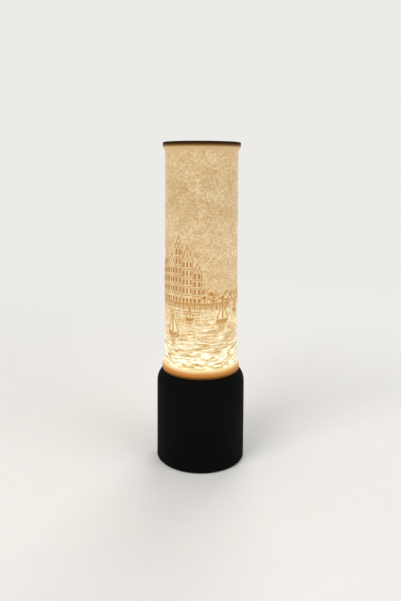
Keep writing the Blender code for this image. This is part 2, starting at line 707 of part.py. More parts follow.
def holder_contact():
    """The sprung centre contact: a tail, a foot on the core's floor and a leaf that folds back."""
    foot = CORE_SEAT + FIT_GAP + LEAF_THICKNESS / 2
    tip = LEAF_TOP - LEAF_THICKNESS / 2
    middle = [
        (LEAF_TAIL_OFFSET, TAIL_BOTTOM),
        (LEAF_TAIL_OFFSET, foot),
        (-LEAF_REACH, foot),
        (-LEAF_REACH - LEAF_THICKNESS, foot + (tip - foot) * LEAF_FOLD_SHARE),
        (0.0, tip),
        (LEAF_THICKNESS, tip),
    ]
    turned = anchor("contact_turn", (0.0, 0.0, 0.0), (0.0, 0.0, -math.pi / 2))
    crosswise("holder_contact", strip_outline(middle, LEAF_THICKNESS), LEAF_WIDTH / 2, "brass", turned)


def holder_dome():
    """The lower half of the holder: it plugs into the skirt, and the leads enter through its nipple."""
    spigot_radius = SKIRT_BORE - FIT_GAP
    spigot_bore = spigot_radius - SPIGOT_WALL
    dome_top = SKIRT_BOTTOM - FIT_GAP
    floor = DOME_BOTTOM + DOME_WALL
    shoulder_centre = (SKIRT_RADIUS - DOME_SHOULDER, DOME_BOTTOM + DOME_SHOULDER)
    outline = (
        [(LEAD_BORE_RADIUS, NIPPLE_BOTTOM), (NIPPLE_RADIUS, NIPPLE_BOTTOM), (NIPPLE_RADIUS, DOME_BOTTOM)]
        + arc(shoulder_centre, DOME_SHOULDER, -math.pi / 2, 0.0)
        + [
            (SKIRT_RADIUS, dome_top),
            (spigot_radius, dome_top),
            (spigot_radius, dome_top + SPIGOT_HEIGHT),
            (spigot_bore, dome_top + SPIGOT_HEIGHT),
            (spigot_bore, floor + DOME_WALL),
            (spigot_bore - DOME_WALL, floor),
            (LEAD_BORE_RADIUS, floor),
        ]
    )
    revolved("holder_dome", outline, MEDIUM_STEPS, "phenolic")


# Bulb


def bulb():
    """The whole bulb, measured up from the tip of its centre contact."""
    seat = anchor("bulb_seat", (0.0, 0.0, BULB_TIP))
    bulb_cap(seat)
    bulb_housing(seat)
    bulb_globe(seat)
    bulb_boards(seat)


def bulb_cap(seat):
    half_edge = EYELET_HEIGHT / 2
    eyelet = [
        (0.0, 0.0),
        (EYELET_RADIUS - half_edge, 0.0),
        (EYELET_RADIUS, half_edge),
        (EYELET_RADIUS, EYELET_HEIGHT),
        (0.0, EYELET_HEIGHT),
    ]
    revolved("bulb_contact", eyelet, SMALL_STEPS, "nickel", seat)
    plug = CAP_BORE - FIT_GAP
    tip = EYELET_HEIGHT + FIT_GAP
    shoulder = tip + INSULATOR_HEIGHT
    insulator = [
        (0.0, tip),
        (INSULATOR_TIP_RADIUS, tip),
        (CAP_BORE + CAP_WALL / 2, shoulder),
        (plug, shoulder),
        (plug, shoulder + INSULATOR_PLUG),
        (0.0, shoulder + INSULATOR_PLUG),
    ]
    revolved("bulb_insulator", insulator, SMALL_STEPS, "black_plastic", seat)
    top = CAP_BOTTOM + CAP_HEIGHT
    shell = [(CAP_BORE, CAP_BOTTOM), (CAP_RADIUS, CAP_BOTTOM), (CAP_RADIUS, top), (CAP_BORE, top)]
    revolved("bulb_cap", shell, MEDIUM_STEPS, "nickel", seat)


def flare(start_radius, end_radius, bottom, height):
    """A bell that leaves the start radius quickly and ends upright, as (radius, height) points."""
    shares = [step / CURVE_STEPS for step in range(CURVE_STEPS + 1)]
    spread = end_radius - start_radius
    return [(start_radius + spread * math.sin(s * math.pi / 2), bottom + height * s) for s in shares]


def bulb_housing(seat):
    spigot = CAP_BORE - FIT_GAP
    neck_top = HOUSING_BOTTOM + NECK_HEIGHT
    ledge = HOUSING_TOP - LED_BOARD_THICKNESS - FIT_GAP
    bore = GLOBE_RIM_RADIUS - HOUSING_WALL
    inner = flare(NECK_RADIUS - HOUSING_WALL, bore - LED_BOARD_LEDGE, neck_top, ledge - neck_top)
    outline = (
        [(0.0, HOUSING_BOTTOM - NECK_SPIGOT), (spigot, HOUSING_BOTTOM - NECK_SPIGOT)]
        + [(spigot, HOUSING_BOTTOM), (NECK_RADIUS, HOUSING_BOTTOM)]
        + flare(NECK_RADIUS, GLOBE_RIM_RADIUS, neck_top, HOUSING_FLARE)
        + [(bore, HOUSING_TOP), (bore, ledge)]
        + inner[::-1]
        + [(0.0, neck_top)]
    )
    revolved("bulb_housing", outline, MEDIUM_STEPS, "white_plastic", seat)


def bulb_globe(seat):
    inner_radius = GLOBE_RADIUS - GLOBE_WALL
    outer_start = -math.asin(GLOBE_RIM_DROP / GLOBE_RADIUS)
    inner_start = -math.asin(GLOBE_RIM_DROP / inner_radius)
    outer = arc((0.0, GLOBE_CENTRE), GLOBE_RADIUS, outer_start, math.pi / 2, GLOBE_STEPS)
    inner = arc((0.0, GLOBE_CENTRE), inner_radius, math.pi / 2, inner_start, GLOBE_STEPS)
    revolved("bulb_globe", closed_at_pole(outer + inner), MEDIUM_STEPS, "opal", seat)


def closed_at_pole(outline):
    """Turns the outline so that it starts and ends on the axis, where its points sit exactly."""
    half = len(outline) // 2
    outer, inner = outline[:half], outline[half:]
    outer[-1] = (0.0, outer[-1][1])
    inner[0] = (0.0, inner[0][1])
    return inner + outer


def bulb_boards(seat):
    radius = GLOBE_RIM_RADIUS - HOUSING_WALL - FIT_GAP
    board_bottom = HOUSING_TOP - LED_BOARD_THICKNESS
    peg("bulb_led_board", radius, board_bottom, HOUSING_TOP, MEDIUM_STEPS, "white_plastic", seat)
    foot = HOUSING_BOTTOM + NECK_HEIGHT + FIT_GAP
    low = (-DRIVER_WIDTH / 2, -DRIVER_THICKNESS / 2, foot)
    high = (DRIVER_WIDTH / 2, DRIVER_THICKNESS / 2, foot + DRIVER_HEIGHT)
    block("bulb_driver_board", low, high, "circuit_board", seat)


# Switch


def switch_housing(seat):
    """The snap-in body: one skin from its back, round the bezel and down into its well."""
    back = rounded_rectangle(SWITCH_WIDTH, SWITCH_HEIGHT, SWITCH_CORNER)
    lip_width = SWITCH_WIDTH + 2 * BEZEL_LIP
    lip_height = SWITCH_HEIGHT + 2 * BEZEL_LIP
    lip = rounded_rectangle(lip_width, lip_height, SWITCH_CORNER + BEZEL_LIP)
    front = rounded_rectangle(lip_width - 2 * BEZEL_EDGE, lip_height - 2 * BEZEL_EDGE, SWITCH_CORNER)
    well = rounded_rectangle(SWITCH_WIDTH - 2 * SWITCH_WALL, SWITCH_HEIGHT - 2 * SWITCH_WALL, FIT_GAP)
    sections = [
        (back, SWITCH_BACK),
        (back, FIT_GAP),
        (lip, FIT_GAP),
        (lip, BEZEL_FRONT - BEZEL_EDGE),
        (front, BEZEL_FRONT),
        (well, BEZEL_FRONT),
        (well, SWITCH_BACK + SWITCH_FLOOR),
    ]
    housing = lofted("switch_housing", sections, "black_plastic", seat)
    for index, side in enumerate((-1, 1), 1):
        join(housing, latch(f"switch_latch_add_{index}", side, seat))
        half_width = BLADE_WIDTH / 2 + FIT_GAP
        half_thickness = BLADE_THICKNESS / 2 + FIT_GAP
        middle = side * BLADE_OFFSET
        low = (-half_width, middle - half_thickness, SWITCH_BACK - OVERRUN)
        high = (half_width, middle + half_thickness, SWITCH_BACK + SWITCH_FLOOR + OVERRUN)
        cut(housing, block(f"blade_slot_cut_{index}", low, high, None, seat))
    half_well = SWITCH_WIDTH / 2 - SWITCH_WALL
    reach = half_well + TRUNNION_LENGTH + FIT_GAP / 2
    cut(housing, cross_peg("trunnion_bore_cut", TRUNNION_RADIUS + FIT_GAP, reach, ROCKER_PIVOT, seat))


def cross_peg(name, radius, half_length, height, parent):
    """A round bar along x at this height."""
    made = peg(name, radius, -half_length, half_length, SMALL_STEPS, None, parent)
    made.rotation_euler.y = math.pi / 2
    made.location.z = height
    return made


def latch(name, side, seat):
    """A ramp on the body that catches behind the rear panel."""
    face = SWITCH_HEIGHT / 2
    catch = -BASE_WALL - FIT_GAP
    root = face - SWITCH_WALL / 2
    toe = catch - LATCH_LENGTH
    ramp = [(root, catch), (face + LATCH_PROUD, catch), (face, toe), (root, toe)]
    return crosswise(name, [(side * y, z) for y, z in ramp], LATCH_WIDTH / 2, None, seat)


def switch_rocker(seat):
    """The rocker, built round its trunnions and left with its upper end pressed: the on position."""
    reach = SWITCH_HEIGHT / 2 - SWITCH_WALL - FIT_GAP
    horn = arc((0.0, 0.0), reach, ROCKER_HEEL, ROCKER_HORN)
    face = horn[-1][1]
    far_horn = [(-y, z) for y, z in reversed(horn)]
    wing = face - ROCKER_DISH * ROCKER_DISH_SHARE
    dish = [(reach / 2, wing), (0.0, face - ROCKER_DISH), (-reach / 2, wing)]
    hub = [(-ROCKER_HUB_WIDTH / 2, -ROCKER_HUB_DEPTH), (ROCKER_HUB_WIDTH / 2, -ROCKER_HUB_DEPTH)]
    half_width = SWITCH_WIDTH / 2 - SWITCH_WALL - FIT_GAP
    rocker = crosswise("switch_rocker", horn + dish + far_horn + hub, half_width, "black_plastic", seat)
    rocker.location.z = ROCKER_PIVOT
    rocker.rotation_euler.x = -ROCKER_TILT
    bar_half = half_width + FIT_GAP / 2 + TRUNNION_LENGTH
    join(rocker, cross_peg("trunnion_add", TRUNNION_RADIUS, bar_half, 0.0, rocker))


def switch_terminals(seat):
    for index, side in enumerate((-1, 1), 1):
        middle = side * BLADE_OFFSET
        low = (-BLADE_WIDTH / 2, middle - BLADE_THICKNESS / 2, SWITCH_BACK - BLADE_LENGTH)
        high = (BLADE_WIDTH / 2, middle + BLADE_THICKNESS / 2, SWITCH_BACK + SWITCH_FLOOR + BLADE_INSIDE)
        block(f"switch_terminal_{index}", low, high, "brass", seat)


# Inlet


def inlet_housing(seat):
    """The inlet's body: its skin runs from the back, round the flange and down into the socket."""
    body = rounded_rectangle(INLET_WIDTH, INLET_HEIGHT, INLET_CORNER)
    flange = rounded_rectangle(INLET_FLANGE_WIDTH, INLET_FLANGE_HEIGHT, INLET_FLANGE_CORNER)
    front_width = INLET_FLANGE_WIDTH - 2 * INLET_FLANGE_EDGE
    front_height = INLET_FLANGE_HEIGHT - 2 * INLET_FLANGE_EDGE
    front = rounded_rectangle(front_width, front_height, INLET_FLANGE_CORNER - INLET_FLANGE_EDGE)
    socket = rounded_rectangle(SOCKET_WIDTH, SOCKET_HEIGHT, SOCKET_CORNER)
    sections = [
        (body, INLET_BACK),
        (body, FIT_GAP),
        (flange, FIT_GAP),
        (flange, INLET_FRONT - INLET_FLANGE_EDGE),
        (front, INLET_FRONT),
        (socket, INLET_FRONT),
        (socket, INLET_FRONT - SOCKET_DEPTH),
    ]
    housing = lofted("inlet_housing", sections, "black_plastic", seat)
    for index, side in enumerate((-1, 1), 1):
        floor = INLET_FRONT - SOCKET_DEPTH
        bore = peg(f"pin_bore_cut_{index}", PIN_RADIUS + FIT_GAP, INLET_BACK - OVERRUN, floor + OVERRUN)
        bore.location.x = side * PIN_PITCH / 2
        hole = peg(f"flange_hole_cut_{index}", SCREW_HOLE_RADIUS, -OVERRUN, INLET_FRONT + OVERRUN)
        hole.location.x = side * INLET_SCREW_PITCH / 2
        bore.parent = hole.parent = seat
        cut(housing, bore, hole)


def inlet_pins(seat):
    tip = INLET_FRONT - PIN_TIP_INSET
    outline = [
        (0.0, INLET_BACK - PIN_TAIL),
        (PIN_RADIUS, INLET_BACK - PIN_TAIL),
        (PIN_RADIUS, tip - PIN_RADIUS),
        (PIN_RADIUS * math.sqrt(0.5), tip - PIN_RADIUS * (1 - math.sqrt(0.5))),
        (0.0, tip),
    ]
    for index, side in enumerate((-1, 1), 1):
        pin = revolved(f"inlet_pin_{index}", outline, SMALL_STEPS, "nickel", seat)
        pin.location.x = side * PIN_PITCH / 2


def inlet_fasteners(seat):
    for index, side in enumerate((-1, 1), 1):
        name = f"inlet_screw_{index}"
        made = screw(name, SCREW_RADIUS, SCREW_HEAD_RADIUS, INLET_SCREW_LENGTH, "zinc", seat)
        made.rotation_euler.x = math.pi
        made.location = (side * INLET_SCREW_PITCH / 2, 0.0, INLET_FRONT + FIT_GAP)
        held = nut(f"inlet_nut_{index}", INLET_NUT_FLATS, INLET_NUT_HEIGHT, SCREW_RADIUS, seat)
        held.location = (side * INLET_SCREW_PITCH / 2, 0.0, -BASE_WALL - FIT_GAP - INLET_NUT_HEIGHT)


# Leads


def smooth_route(knots):
    """Points of a smooth curve through the knots, evenly many in each span."""
    before = [2 * knots[0] - knots[1]]
    after = [2 * knots[-1] - knots[-2]]
    line = before + knots + after
    points = []
    for a, b, c, d in zip(line, line[1:], line[2:], line[3:]):
        for step in range(LEAD_POINTS_PER_SPAN):
            t = step / LEAD_POINTS_PER_SPAN
            straight = b + t * (c - a) / 2
            turn = (2 * a - 5 * b + 4 * c - d) * t**2 / 2
            settle = (3 * b - a - 3 * c + d) * t**3 / 2
            points.append(straight + turn + settle)
    return points + [knots[-1]]


def lead(name, knots, finish):
    curve = bpy.data.curves.new(name, "CURVE")
    curve.dimensions = "3D"
    curve.bevel_depth = LEAD_RADIUS
    curve.bevel_resolution = 2
    curve.use_fill_caps = True
    route = smooth_route([Vector(knot) for knot in knots])
    spline = curve.splines.new("POLY")
    spline.points.add(len(route) - 1)
    for place, point in zip(spline.points, route):
        place.co = (*point, 1.0)
    obj = bpy.data.objects.new(name, curve)
    bpy.context.scene.collection.objects.link(obj)
    curve.materials.append(own_material(name, finish))


def leads():
    """Neutral from the inlet to the screw shell, live by way of the switch to the centre contact."""
    pin_y = REAR_FLAT_Y + INLET_BACK - PIN_TAIL - FIT_GAP
    blade_y = REAR_FLAT_Y + SWITCH_BACK - BLADE_LENGTH - FIT_GAP
    low_blade = SWITCH_Z - BLADE_OFFSET
    high_blade = SWITCH_Z + BLADE_OFFSET
    half_pitch = PIN_PITCH / 2
    mouth = NIPPLE_BOTTOM - LEAD_BEND
    neck = DOME_BOTTOM + DOME_WALL
    tail = TAIL_BOTTOM - FIT_GAP
    sleeve_tail_x = -(SLEEVE_BORE + SLEEVE_WALL / 2)
    neutral = [
        (-half_pitch, pin_y, INLET_Z),
        (-half_pitch, pin_y - LEAD_BEND, INLET_Z),
        (-half_pitch, pin_y / 3, (INLET_Z + mouth) / 2),
        (-LEAD_SPREAD, 0.0, mouth),
        (-LEAD_SPREAD, 0.0, neck),
        (sleeve_tail_x, 0.0, tail - LEAD_BEND),
        (sleeve_tail_x, 0.0, tail),
    ]
    live = [
        (half_pitch, pin_y, INLET_Z),
        (half_pitch, pin_y - LEAD_BEND, INLET_Z),
        (half_pitch, pin_y - 2 * LEAD_BEND, (2 * INLET_Z + low_blade) / 3),
        (half_pitch / 2, pin_y - 2 * LEAD_BEND, (INLET_Z + 2 * low_blade) / 3),
        (0.0, blade_y - LEAD_BEND, low_blade),
        (0.0, blade_y, low_blade),
    ]
    switched = [
        (0.0, blade_y, high_blade),
        (LEAD_SPREAD, blade_y - LEAD_BEND, high_blade - LEAD_SPREAD),
        (half_pitch + LEAD_SPREAD, blade_y - LEAD_BEND, (low_blade + high_blade) / 2 - LEAD_BEND),
        (half_pitch + 2 * LEAD_SPREAD, blade_y - 2 * LEAD_BEND, mouth + LEAD_SPREAD),
        (half_pitch + LEAD_SPREAD, LEAD_BEND, mouth - LEAD_BEND),
        (LEAD_SPREAD, 0.0, mouth),
        (LEAD_SPREAD, 0.0, neck),
        (LEAF_TAIL_OFFSET, 0.0, tail - LEAD_BEND),
        (LEAF_TAIL_OFFSET, 0.0, tail),
    ]
    lead("lead_neutral", neutral, "lead_blue")
    lead("lead_live", live, "lead_brown")
    lead("lead_switched", switched, "lead_brown")


def build():
    clear_scene()
    switch_seat = rear_anchor("switch_seat", SWITCH_Z)
    inlet_seat = rear_anchor("inlet_seat", INLET_Z)
    base_shell(switch_seat, inlet_seat)
    bottom_cover()
    feet()
    ballast_disc()
    underside_fasteners()
    holder_skirt()
    holder_ring()
    holder_core()
    holder_sleeve()
    holder_contact()
    holder_dome()
    bulb()
    switch_housing(switch_seat)
    switch_rocker(switch_seat)
    switch_terminals(switch_seat)
    inlet_housing(inlet_seat)
    inlet_pins(inlet_seat)
    inlet_fasteners(inlet_seat)
    leads()
    shade_tube()


build()
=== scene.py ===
# %% [markdown]
# A round night light: a relief picture, printed as a tube of warm white plastic, glows on a tall matte black base.
# The printed tube could be a plain cylinder with a bump map, but its picture is real thickness in the real object:
# thick plastic lets less light through and looks darker. So this file carves the tube, vertex by vertex, and lets the
# same number decide both the shape and the colour. The rest of the lamp comes from the solid model, which is loaded
# as a fixed frame, and gets finishes, threads, marks and other fine detail here.

# %% Load the frame
import json
import math

import bmesh
import bpy
import numpy as np
from mathutils import Matrix, Vector, noise
from mathutils.bvhtree import BVHTree


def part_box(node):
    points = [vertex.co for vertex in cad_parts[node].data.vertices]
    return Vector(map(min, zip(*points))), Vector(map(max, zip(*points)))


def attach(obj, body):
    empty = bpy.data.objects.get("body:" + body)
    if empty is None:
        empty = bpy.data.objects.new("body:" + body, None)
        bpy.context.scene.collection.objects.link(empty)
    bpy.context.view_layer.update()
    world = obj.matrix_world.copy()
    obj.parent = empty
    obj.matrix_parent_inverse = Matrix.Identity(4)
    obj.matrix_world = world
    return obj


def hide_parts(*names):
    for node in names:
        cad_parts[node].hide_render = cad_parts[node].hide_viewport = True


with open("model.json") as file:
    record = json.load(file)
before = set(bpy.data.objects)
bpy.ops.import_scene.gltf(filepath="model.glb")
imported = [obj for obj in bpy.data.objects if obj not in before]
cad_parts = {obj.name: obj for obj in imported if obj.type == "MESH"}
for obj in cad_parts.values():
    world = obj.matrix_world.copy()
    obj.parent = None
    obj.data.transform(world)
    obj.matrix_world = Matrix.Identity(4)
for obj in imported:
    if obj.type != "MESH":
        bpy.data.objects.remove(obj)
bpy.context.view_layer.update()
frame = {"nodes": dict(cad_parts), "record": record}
nodes = frame["nodes"]


def link(obj):
    """Puts a new object into the scene."""
    bpy.context.scene.collection.objects.link(obj)
    return obj


# %% [markdown]
# The camera stands where the photographer stood: a little above the lamp's middle, looking slightly down, with the
# lens's axis above the middle of the picture. A long list of camera tricks is possible, but a lens, a shift and a
# place are all that a view needs. The lens is worked out from the picture's height, because Blender's sensor size
# belongs to the longer side.

# %% Camera
PICTURE_HEIGHT = 601
FOCAL_PIXELS = 597.0
SENSOR = 36.0
LENS_SHIFT = -0.1506
CAMERA_PLACE = Vector((-0.0011, -0.649, 0.321))
LOOK_DOWN, ROLL = math.radians(4.2), math.radians(0.3)

camera_data = bpy.data.cameras.new("photographer")
camera_data.sensor_width = SENSOR
camera_data.lens = FOCAL_PIXELS * SENSOR / PICTURE_HEIGHT
camera_data.shift_y = LENS_SHIFT
camera = link(bpy.data.objects.new("photographer", camera_data))
camera.matrix_world = (
    Matrix.Translation(CAMERA_PLACE)
    @ Matrix.Rotation(math.pi / 2 - LOOK_DOWN, 4, "X")
    @ Matrix.Rotation(ROLL, 4, "Z")
)
bpy.context.scene.camera = camera
print("lens, mm:", round(camera_data.lens, 2))

# %% [markdown]
# Sky, floor and finishes are all node trees, and the same few steps come back in each: feed a socket, do a sum, make
# some noise, mix two colours. Each step gets a function, so that a tree below reads like a recipe.

# %% Helpers for node trees
def feed(tree, value, socket):
    """Links an output to a socket, or sets the socket to a constant."""
    if isinstance(value, bpy.types.NodeSocket):
        tree.links.new(value, socket)
    else:
        socket.default_value = value


def math_node(tree, operation, *values):
    """One Math node; values are outputs or numbers. Returns its output."""
    node = tree.nodes.new("ShaderNodeMath")
    node.operation = operation
    for value, socket in zip(values, node.inputs):
        feed(tree, value, socket)
    return node.outputs[0]


def blended(tree, first, share, second):
    """first times its share, plus second times the rest."""
    rest = math_node(tree, "MULTIPLY", second, 1 - share)
    return math_node(tree, "ADD", math_node(tree, "MULTIPLY", first, share), rest)


def mapped(tree, value, **limits):
    """A Map Range node; limits are its inputs with underscores for spaces. Returns its output."""
    node = tree.nodes.new("ShaderNodeMapRange")
    feed(tree, value, node.inputs["Value"])
    for label, limit in limits.items():
        feed(tree, limit, node.inputs[label.replace("_", " ")])
    return node.outputs[0]


def noise_node(tree, vector, scale, detail=2.0, roughness=0.5):
    """A Noise Texture on the given coordinates; returns its value output."""
    node = tree.nodes.new("ShaderNodeTexNoise")
    for label, value in (("Vector", vector), ("Scale", scale), ("Detail", detail), ("Roughness", roughness)):
        feed(tree, value, node.inputs[label])
    return node.outputs[0]


def object_coordinates(tree, stretch=(1.0, 1.0, 1.0)):
    """Object coordinates, stretched by a Mapping node."""
    coordinates = tree.nodes.new("ShaderNodeTexCoord")
    mapping = tree.nodes.new("ShaderNodeMapping")
    feed(tree, stretch, mapping.inputs["Scale"])
    feed(tree, coordinates.outputs["Object"], mapping.inputs["Vector"])
    return mapping.outputs[0]


def height_of(tree, place):
    """The Z part of some coordinates."""
    split = tree.nodes.new("ShaderNodeSeparateXYZ")
    feed(tree, place, split.inputs[0])
    return split.outputs["Z"]


def mixed_colors(tree, factor, first, second, blend_type="MIX"):
    """Mixes two colours; factor, first and second are outputs or constants."""
    node = tree.nodes.new("ShaderNodeMix")
    node.data_type, node.blend_type = "RGBA", blend_type
    feed(tree, factor, node.inputs["Factor"])
    for value, socket in zip((first, second), [s for s in node.inputs if s.type == "RGBA"]):
        feed(tree, value, socket)
    return [s for s in node.outputs if s.type == "RGBA"][0]


def bump_node(tree, height, strength, distance):
    """A Bump node; returns its normal."""
    node = tree.nodes.new("ShaderNodeBump")
    for label, value in (("Height", height), ("Strength", strength), ("Distance", distance)):
        feed(tree, value, node.inputs[label])
    return node.outputs[0]


def seen_rays(tree):
    """1 for what the camera, mirrors and glass see, 0 for rays that only carry light."""
    rays = tree.nodes.new("ShaderNodeLightPath")
    mirrored = math_node(tree, "MAXIMUM", rays.outputs["Is Glossy Ray"], rays.outputs["Is Transmission Ray"])
    return math_node(tree, "MAXIMUM", rays.outputs["Is Camera Ray"], mirrored)


def new_material(name):
    """A material with a Principled shader; returns the material, its tree and the shader."""
    material = bpy.data.materials.new(name)
    material.use_nodes = True
    return material, material.node_tree, material.node_tree.nodes["Principled BSDF"]


# %% [markdown]
# The studio is a pale floor under a pale sky, with three large soft lamps. Large lamps give soft shadows, and a dim
# sky fills them. The sky that the camera and mirrors see is brighter than the sky that lights the lamp, so that the
# background is pale while the object keeps its own colours.

# %% Studio
PALE = (0.84, 0.83, 0.81, 1.0)
SKY_SEEN, SKY_LIGHTING = 1.0, 0.50
AIM = Vector((0.0, 0.0, 0.17))
SOFT_LAMPS = (  # name, place, size, watts, colour
    ("key", (-1.1, -1.3, 1.5), 1.2, 25.0, (1.0, 0.98, 0.95)),
    ("fill", (1.5, -1.0, 0.9), 1.4, 13.0, (0.96, 0.98, 1.0)),
    ("back", (0.4, 1.6, 1.4), 1.2, 15.0, (1.0, 0.99, 0.97)),
)


def pale_sky():
    """A sky that looks brighter than it shines."""
    world = bpy.data.worlds.new("studio_sky")
    world.use_nodes = True
    tree = world.node_tree
    background = tree.nodes["Background"]
    background.inputs["Color"].default_value = PALE
    strength = mapped(tree, seen_rays(tree), To_Min=SKY_LIGHTING, To_Max=SKY_SEEN)
    feed(tree, strength, background.inputs["Strength"])
    bpy.context.scene.world = world


def soft_lamp(name, place, size, watts, color):
    """A square soft lamp that points at the middle of the object."""
    light = bpy.data.lights.new(name, "AREA")
    light.size, light.energy, light.color = size, watts, color
    lamp = link(bpy.data.objects.new(name, light))
    lamp.location = place
    lamp.rotation_euler = (AIM - Vector(place)).to_track_quat("-Z", "Y").to_euler()


pale_sky()
for lamp_values in SOFT_LAMPS:
    soft_lamp(*lamp_values)
bpy.context.scene.view_settings.view_transform = "Standard"
print("soft lamps:", len(SOFT_LAMPS))

# %% [markdown]
# Materials come next. Every finish on the lamp is a Principled shader, and what changes over its surface comes from a
# few node groups, each built once: fine grain, printed layers and scratches. A group could hold the whole shader, but
# groups that put out only colours, masks and heights can be shared by very different finishes.

# %% Node groups: what all surfaces have in common
SURFACE_INPUTS = {
    "Dark": (0.1, 0.1, 0.1, 1.0),
    "Light": (0.2, 0.2, 0.2, 1.0),
    "Scale": 900.0,
    "Roughness Low": 0.4,
    "Roughness High": 0.6,
}
SURFACE_OUTPUTS = {"Color": "NodeSocketColor", "Roughness": "NodeSocketFloat", "Height": "NodeSocketFloat"}


def surface_group(name, pattern):
    """A group with the usual inputs and outputs, whose mask and height come from pattern(tree, scale)."""
    group = bpy.data.node_groups.new(name, "ShaderNodeTree")
    for label, value in SURFACE_INPUTS.items():
        kind = "NodeSocketFloat" if isinstance(value, float) else "NodeSocketColor"
        group.interface.new_socket(label, in_out="INPUT", socket_type=kind).default_value = value
    for label, kind in SURFACE_OUTPUTS.items():
        group.interface.new_socket(label, in_out="OUTPUT", socket_type=kind)
    given = group.nodes.new("NodeGroupInput").outputs
    made = group.nodes.new("NodeGroupOutput").inputs
    mask, height = pattern(group, given["Scale"])
    feed(group, mixed_colors(group, mask, given["Dark"], given["Light"]), made["Color"])
    rough = mapped(group, mask, To_Min=given["Roughness Low"], To_Max=given["Roughness High"])
    feed(group, rough, made["Roughness"])
    feed(group, height, made["Height"])
    return group


# %% [markdown]
# Grain: the fine mottle that all plastics, rubber and plating show when they are looked at closely. It varies the
# colour a little, varies the roughness, and gives a height for a Bump node.

# %% Group: grain
def grain_pattern(tree, scale):
    """Fine grain over soft clouds."""
    place = object_coordinates(tree)
    fine = noise_node(tree, place, scale, detail=3.0, roughness=0.6)
    clouds = noise_node(tree, place, 60.0)
    return blended(tree, fine, 0.6, clouds), fine


grain = surface_group("grain", grain_pattern)

# %% [markdown]
# Layers: a printed part is a stack of thin lines of plastic, so that its walls are ribbed and its colour changes very
# slightly from line to line. A wave along Z gives the ribs, and noise keeps them from being too even.

# %% Group: printed layers
LAYERS_PER_METRE = 2500.0
LAYER_WOBBLE = 6.0
BANDS_STRETCH = (2.0, 2.0, 420.0)


def layer_pattern(tree, scale):
    """Ribs along Z, a little uneven, with grain on top."""
    place = object_coordinates(tree)
    wobble = noise_node(tree, place, 25.0, detail=1.0)
    turns = math_node(tree, "MULTIPLY", height_of(tree, place), LAYERS_PER_METRE * 2 * math.pi)
    wave = math_node(tree, "SINE", math_node(tree, "ADD", turns, math_node(tree, "MULTIPLY", wobble, LAYER_WOBBLE)))
    rib = math_node(tree, "MULTIPLY_ADD", wave, 0.5, 0.5)
    bands = noise_node(tree, object_coordinates(tree, BANDS_STRETCH), 1.0)
    fine = noise_node(tree, place, scale, detail=3.0, roughness=0.65)
    return blended(tree, fine, 0.45, bands), blended(tree, rib, 0.6, fine)


layers = surface_group("printed_layers", layer_pattern)

# %% [markdown]
# Scratches: plated screws, pins and the steel disc were turned or pressed and then handled, and show fine streaks.

# %% Group: fine scratches
STREAK_STRETCH = (1.0, 1.0, 12.0)


def scratch_pattern(tree, scale):
    """Long thin scratches in one direction, over soft clouds."""
    streaks = noise_node(tree, object_coordinates(tree, STREAK_STRETCH), scale, detail=4.0, roughness=0.7)
    clouds = noise_node(tree, object_coordinates(tree), 140.0)
    return blended(tree, streaks, 0.65, clouds), streaks


scratches = surface_group("fine_scratches", scratch_pattern)

# %% [markdown]
# A finish joins one of these groups to a Principled shader. Numbers that are the same all over the surface, such as
# metallic or the specular level, are set on the shader itself. The table has one row for each material slot of the
# solid model: black parts are very dark, because the real base swallows nearly all light.

# %% Finishes
METAL = {"metallic": 1.0}
FINISH_TABLE = {  # slot: pattern, dark colour, light colour, pattern scale, roughness, bump strength and height, more
    "printed_black": (
        layers, (0.0009, 0.0009, 0.0010), (0.0030, 0.0030, 0.0030), 1400.0, (0.72, 0.94), (0.40, 0.0002),
        {"specular": 0.05},
    ),
    "opal_globe": (grain, (0.62, 0.50, 0.34), (0.70, 0.58, 0.42), 500.0, (0.35, 0.45), (0.05, 0.0002), {"glow": 0.75}),
    "led_board_white": (grain, (0.74, 0.74, 0.70), (0.84, 0.84, 0.80), 1200.0, (0.4, 0.55), (0.1, 0.0001), {}),
    "circuit_board": (grain, (0.03, 0.13, 0.06), (0.06, 0.22, 0.11), 1500.0, (0.25, 0.4), (0.1, 0.0001), {}),
    "white_plastic": (grain, (0.66, 0.66, 0.63), (0.76, 0.76, 0.73), 1300.0, (0.32, 0.48), (0.12, 0.0001), {}),
    "black_plastic": (
        grain, (0.0030, 0.0030, 0.0032), (0.0080, 0.0080, 0.0086), 1800.0, (0.30, 0.46), (0.2, 0.0001),
        {"specular": 0.22},
    ),
    "phenolic": (grain, (0.016, 0.013, 0.011), (0.040, 0.032, 0.028), 700.0, (0.25, 0.45), (0.15, 0.0001), {}),
    "foot_rubber": (
        grain, (0.012, 0.012, 0.012), (0.030, 0.029, 0.028), 2200.0, (0.75, 0.95), (0.4, 0.0002),
        {"specular": 0.2},
    ),
    "ballast_steel": (scratches, (0.36, 0.37, 0.38), (0.56, 0.57, 0.59), 900.0, (0.25, 0.5), (0.2, 0.0001), METAL),
    "zinc_plated_steel": (
        scratches, (0.48, 0.49, 0.52), (0.66, 0.67, 0.70), 1500.0, (0.2, 0.42), (0.15, 0.0001), METAL,
    ),
    "nickel_plate": (scratches, (0.54, 0.51, 0.46), (0.70, 0.67, 0.62), 1300.0, (0.12, 0.3), (0.1, 0.0001), METAL),
    "contact_brass": (scratches, (0.55, 0.38, 0.15), (0.76, 0.57, 0.27), 1300.0, (0.2, 0.42), (0.12, 0.0001), METAL),
    "lead_brown": (grain, (0.13, 0.055, 0.025), (0.20, 0.090, 0.042), 1500.0, (0.35, 0.5), (0.1, 0.0001), {}),
    "lead_blue": (grain, (0.030, 0.085, 0.32), (0.055, 0.13, 0.44), 1500.0, (0.35, 0.5), (0.1, 0.0001), {}),
}


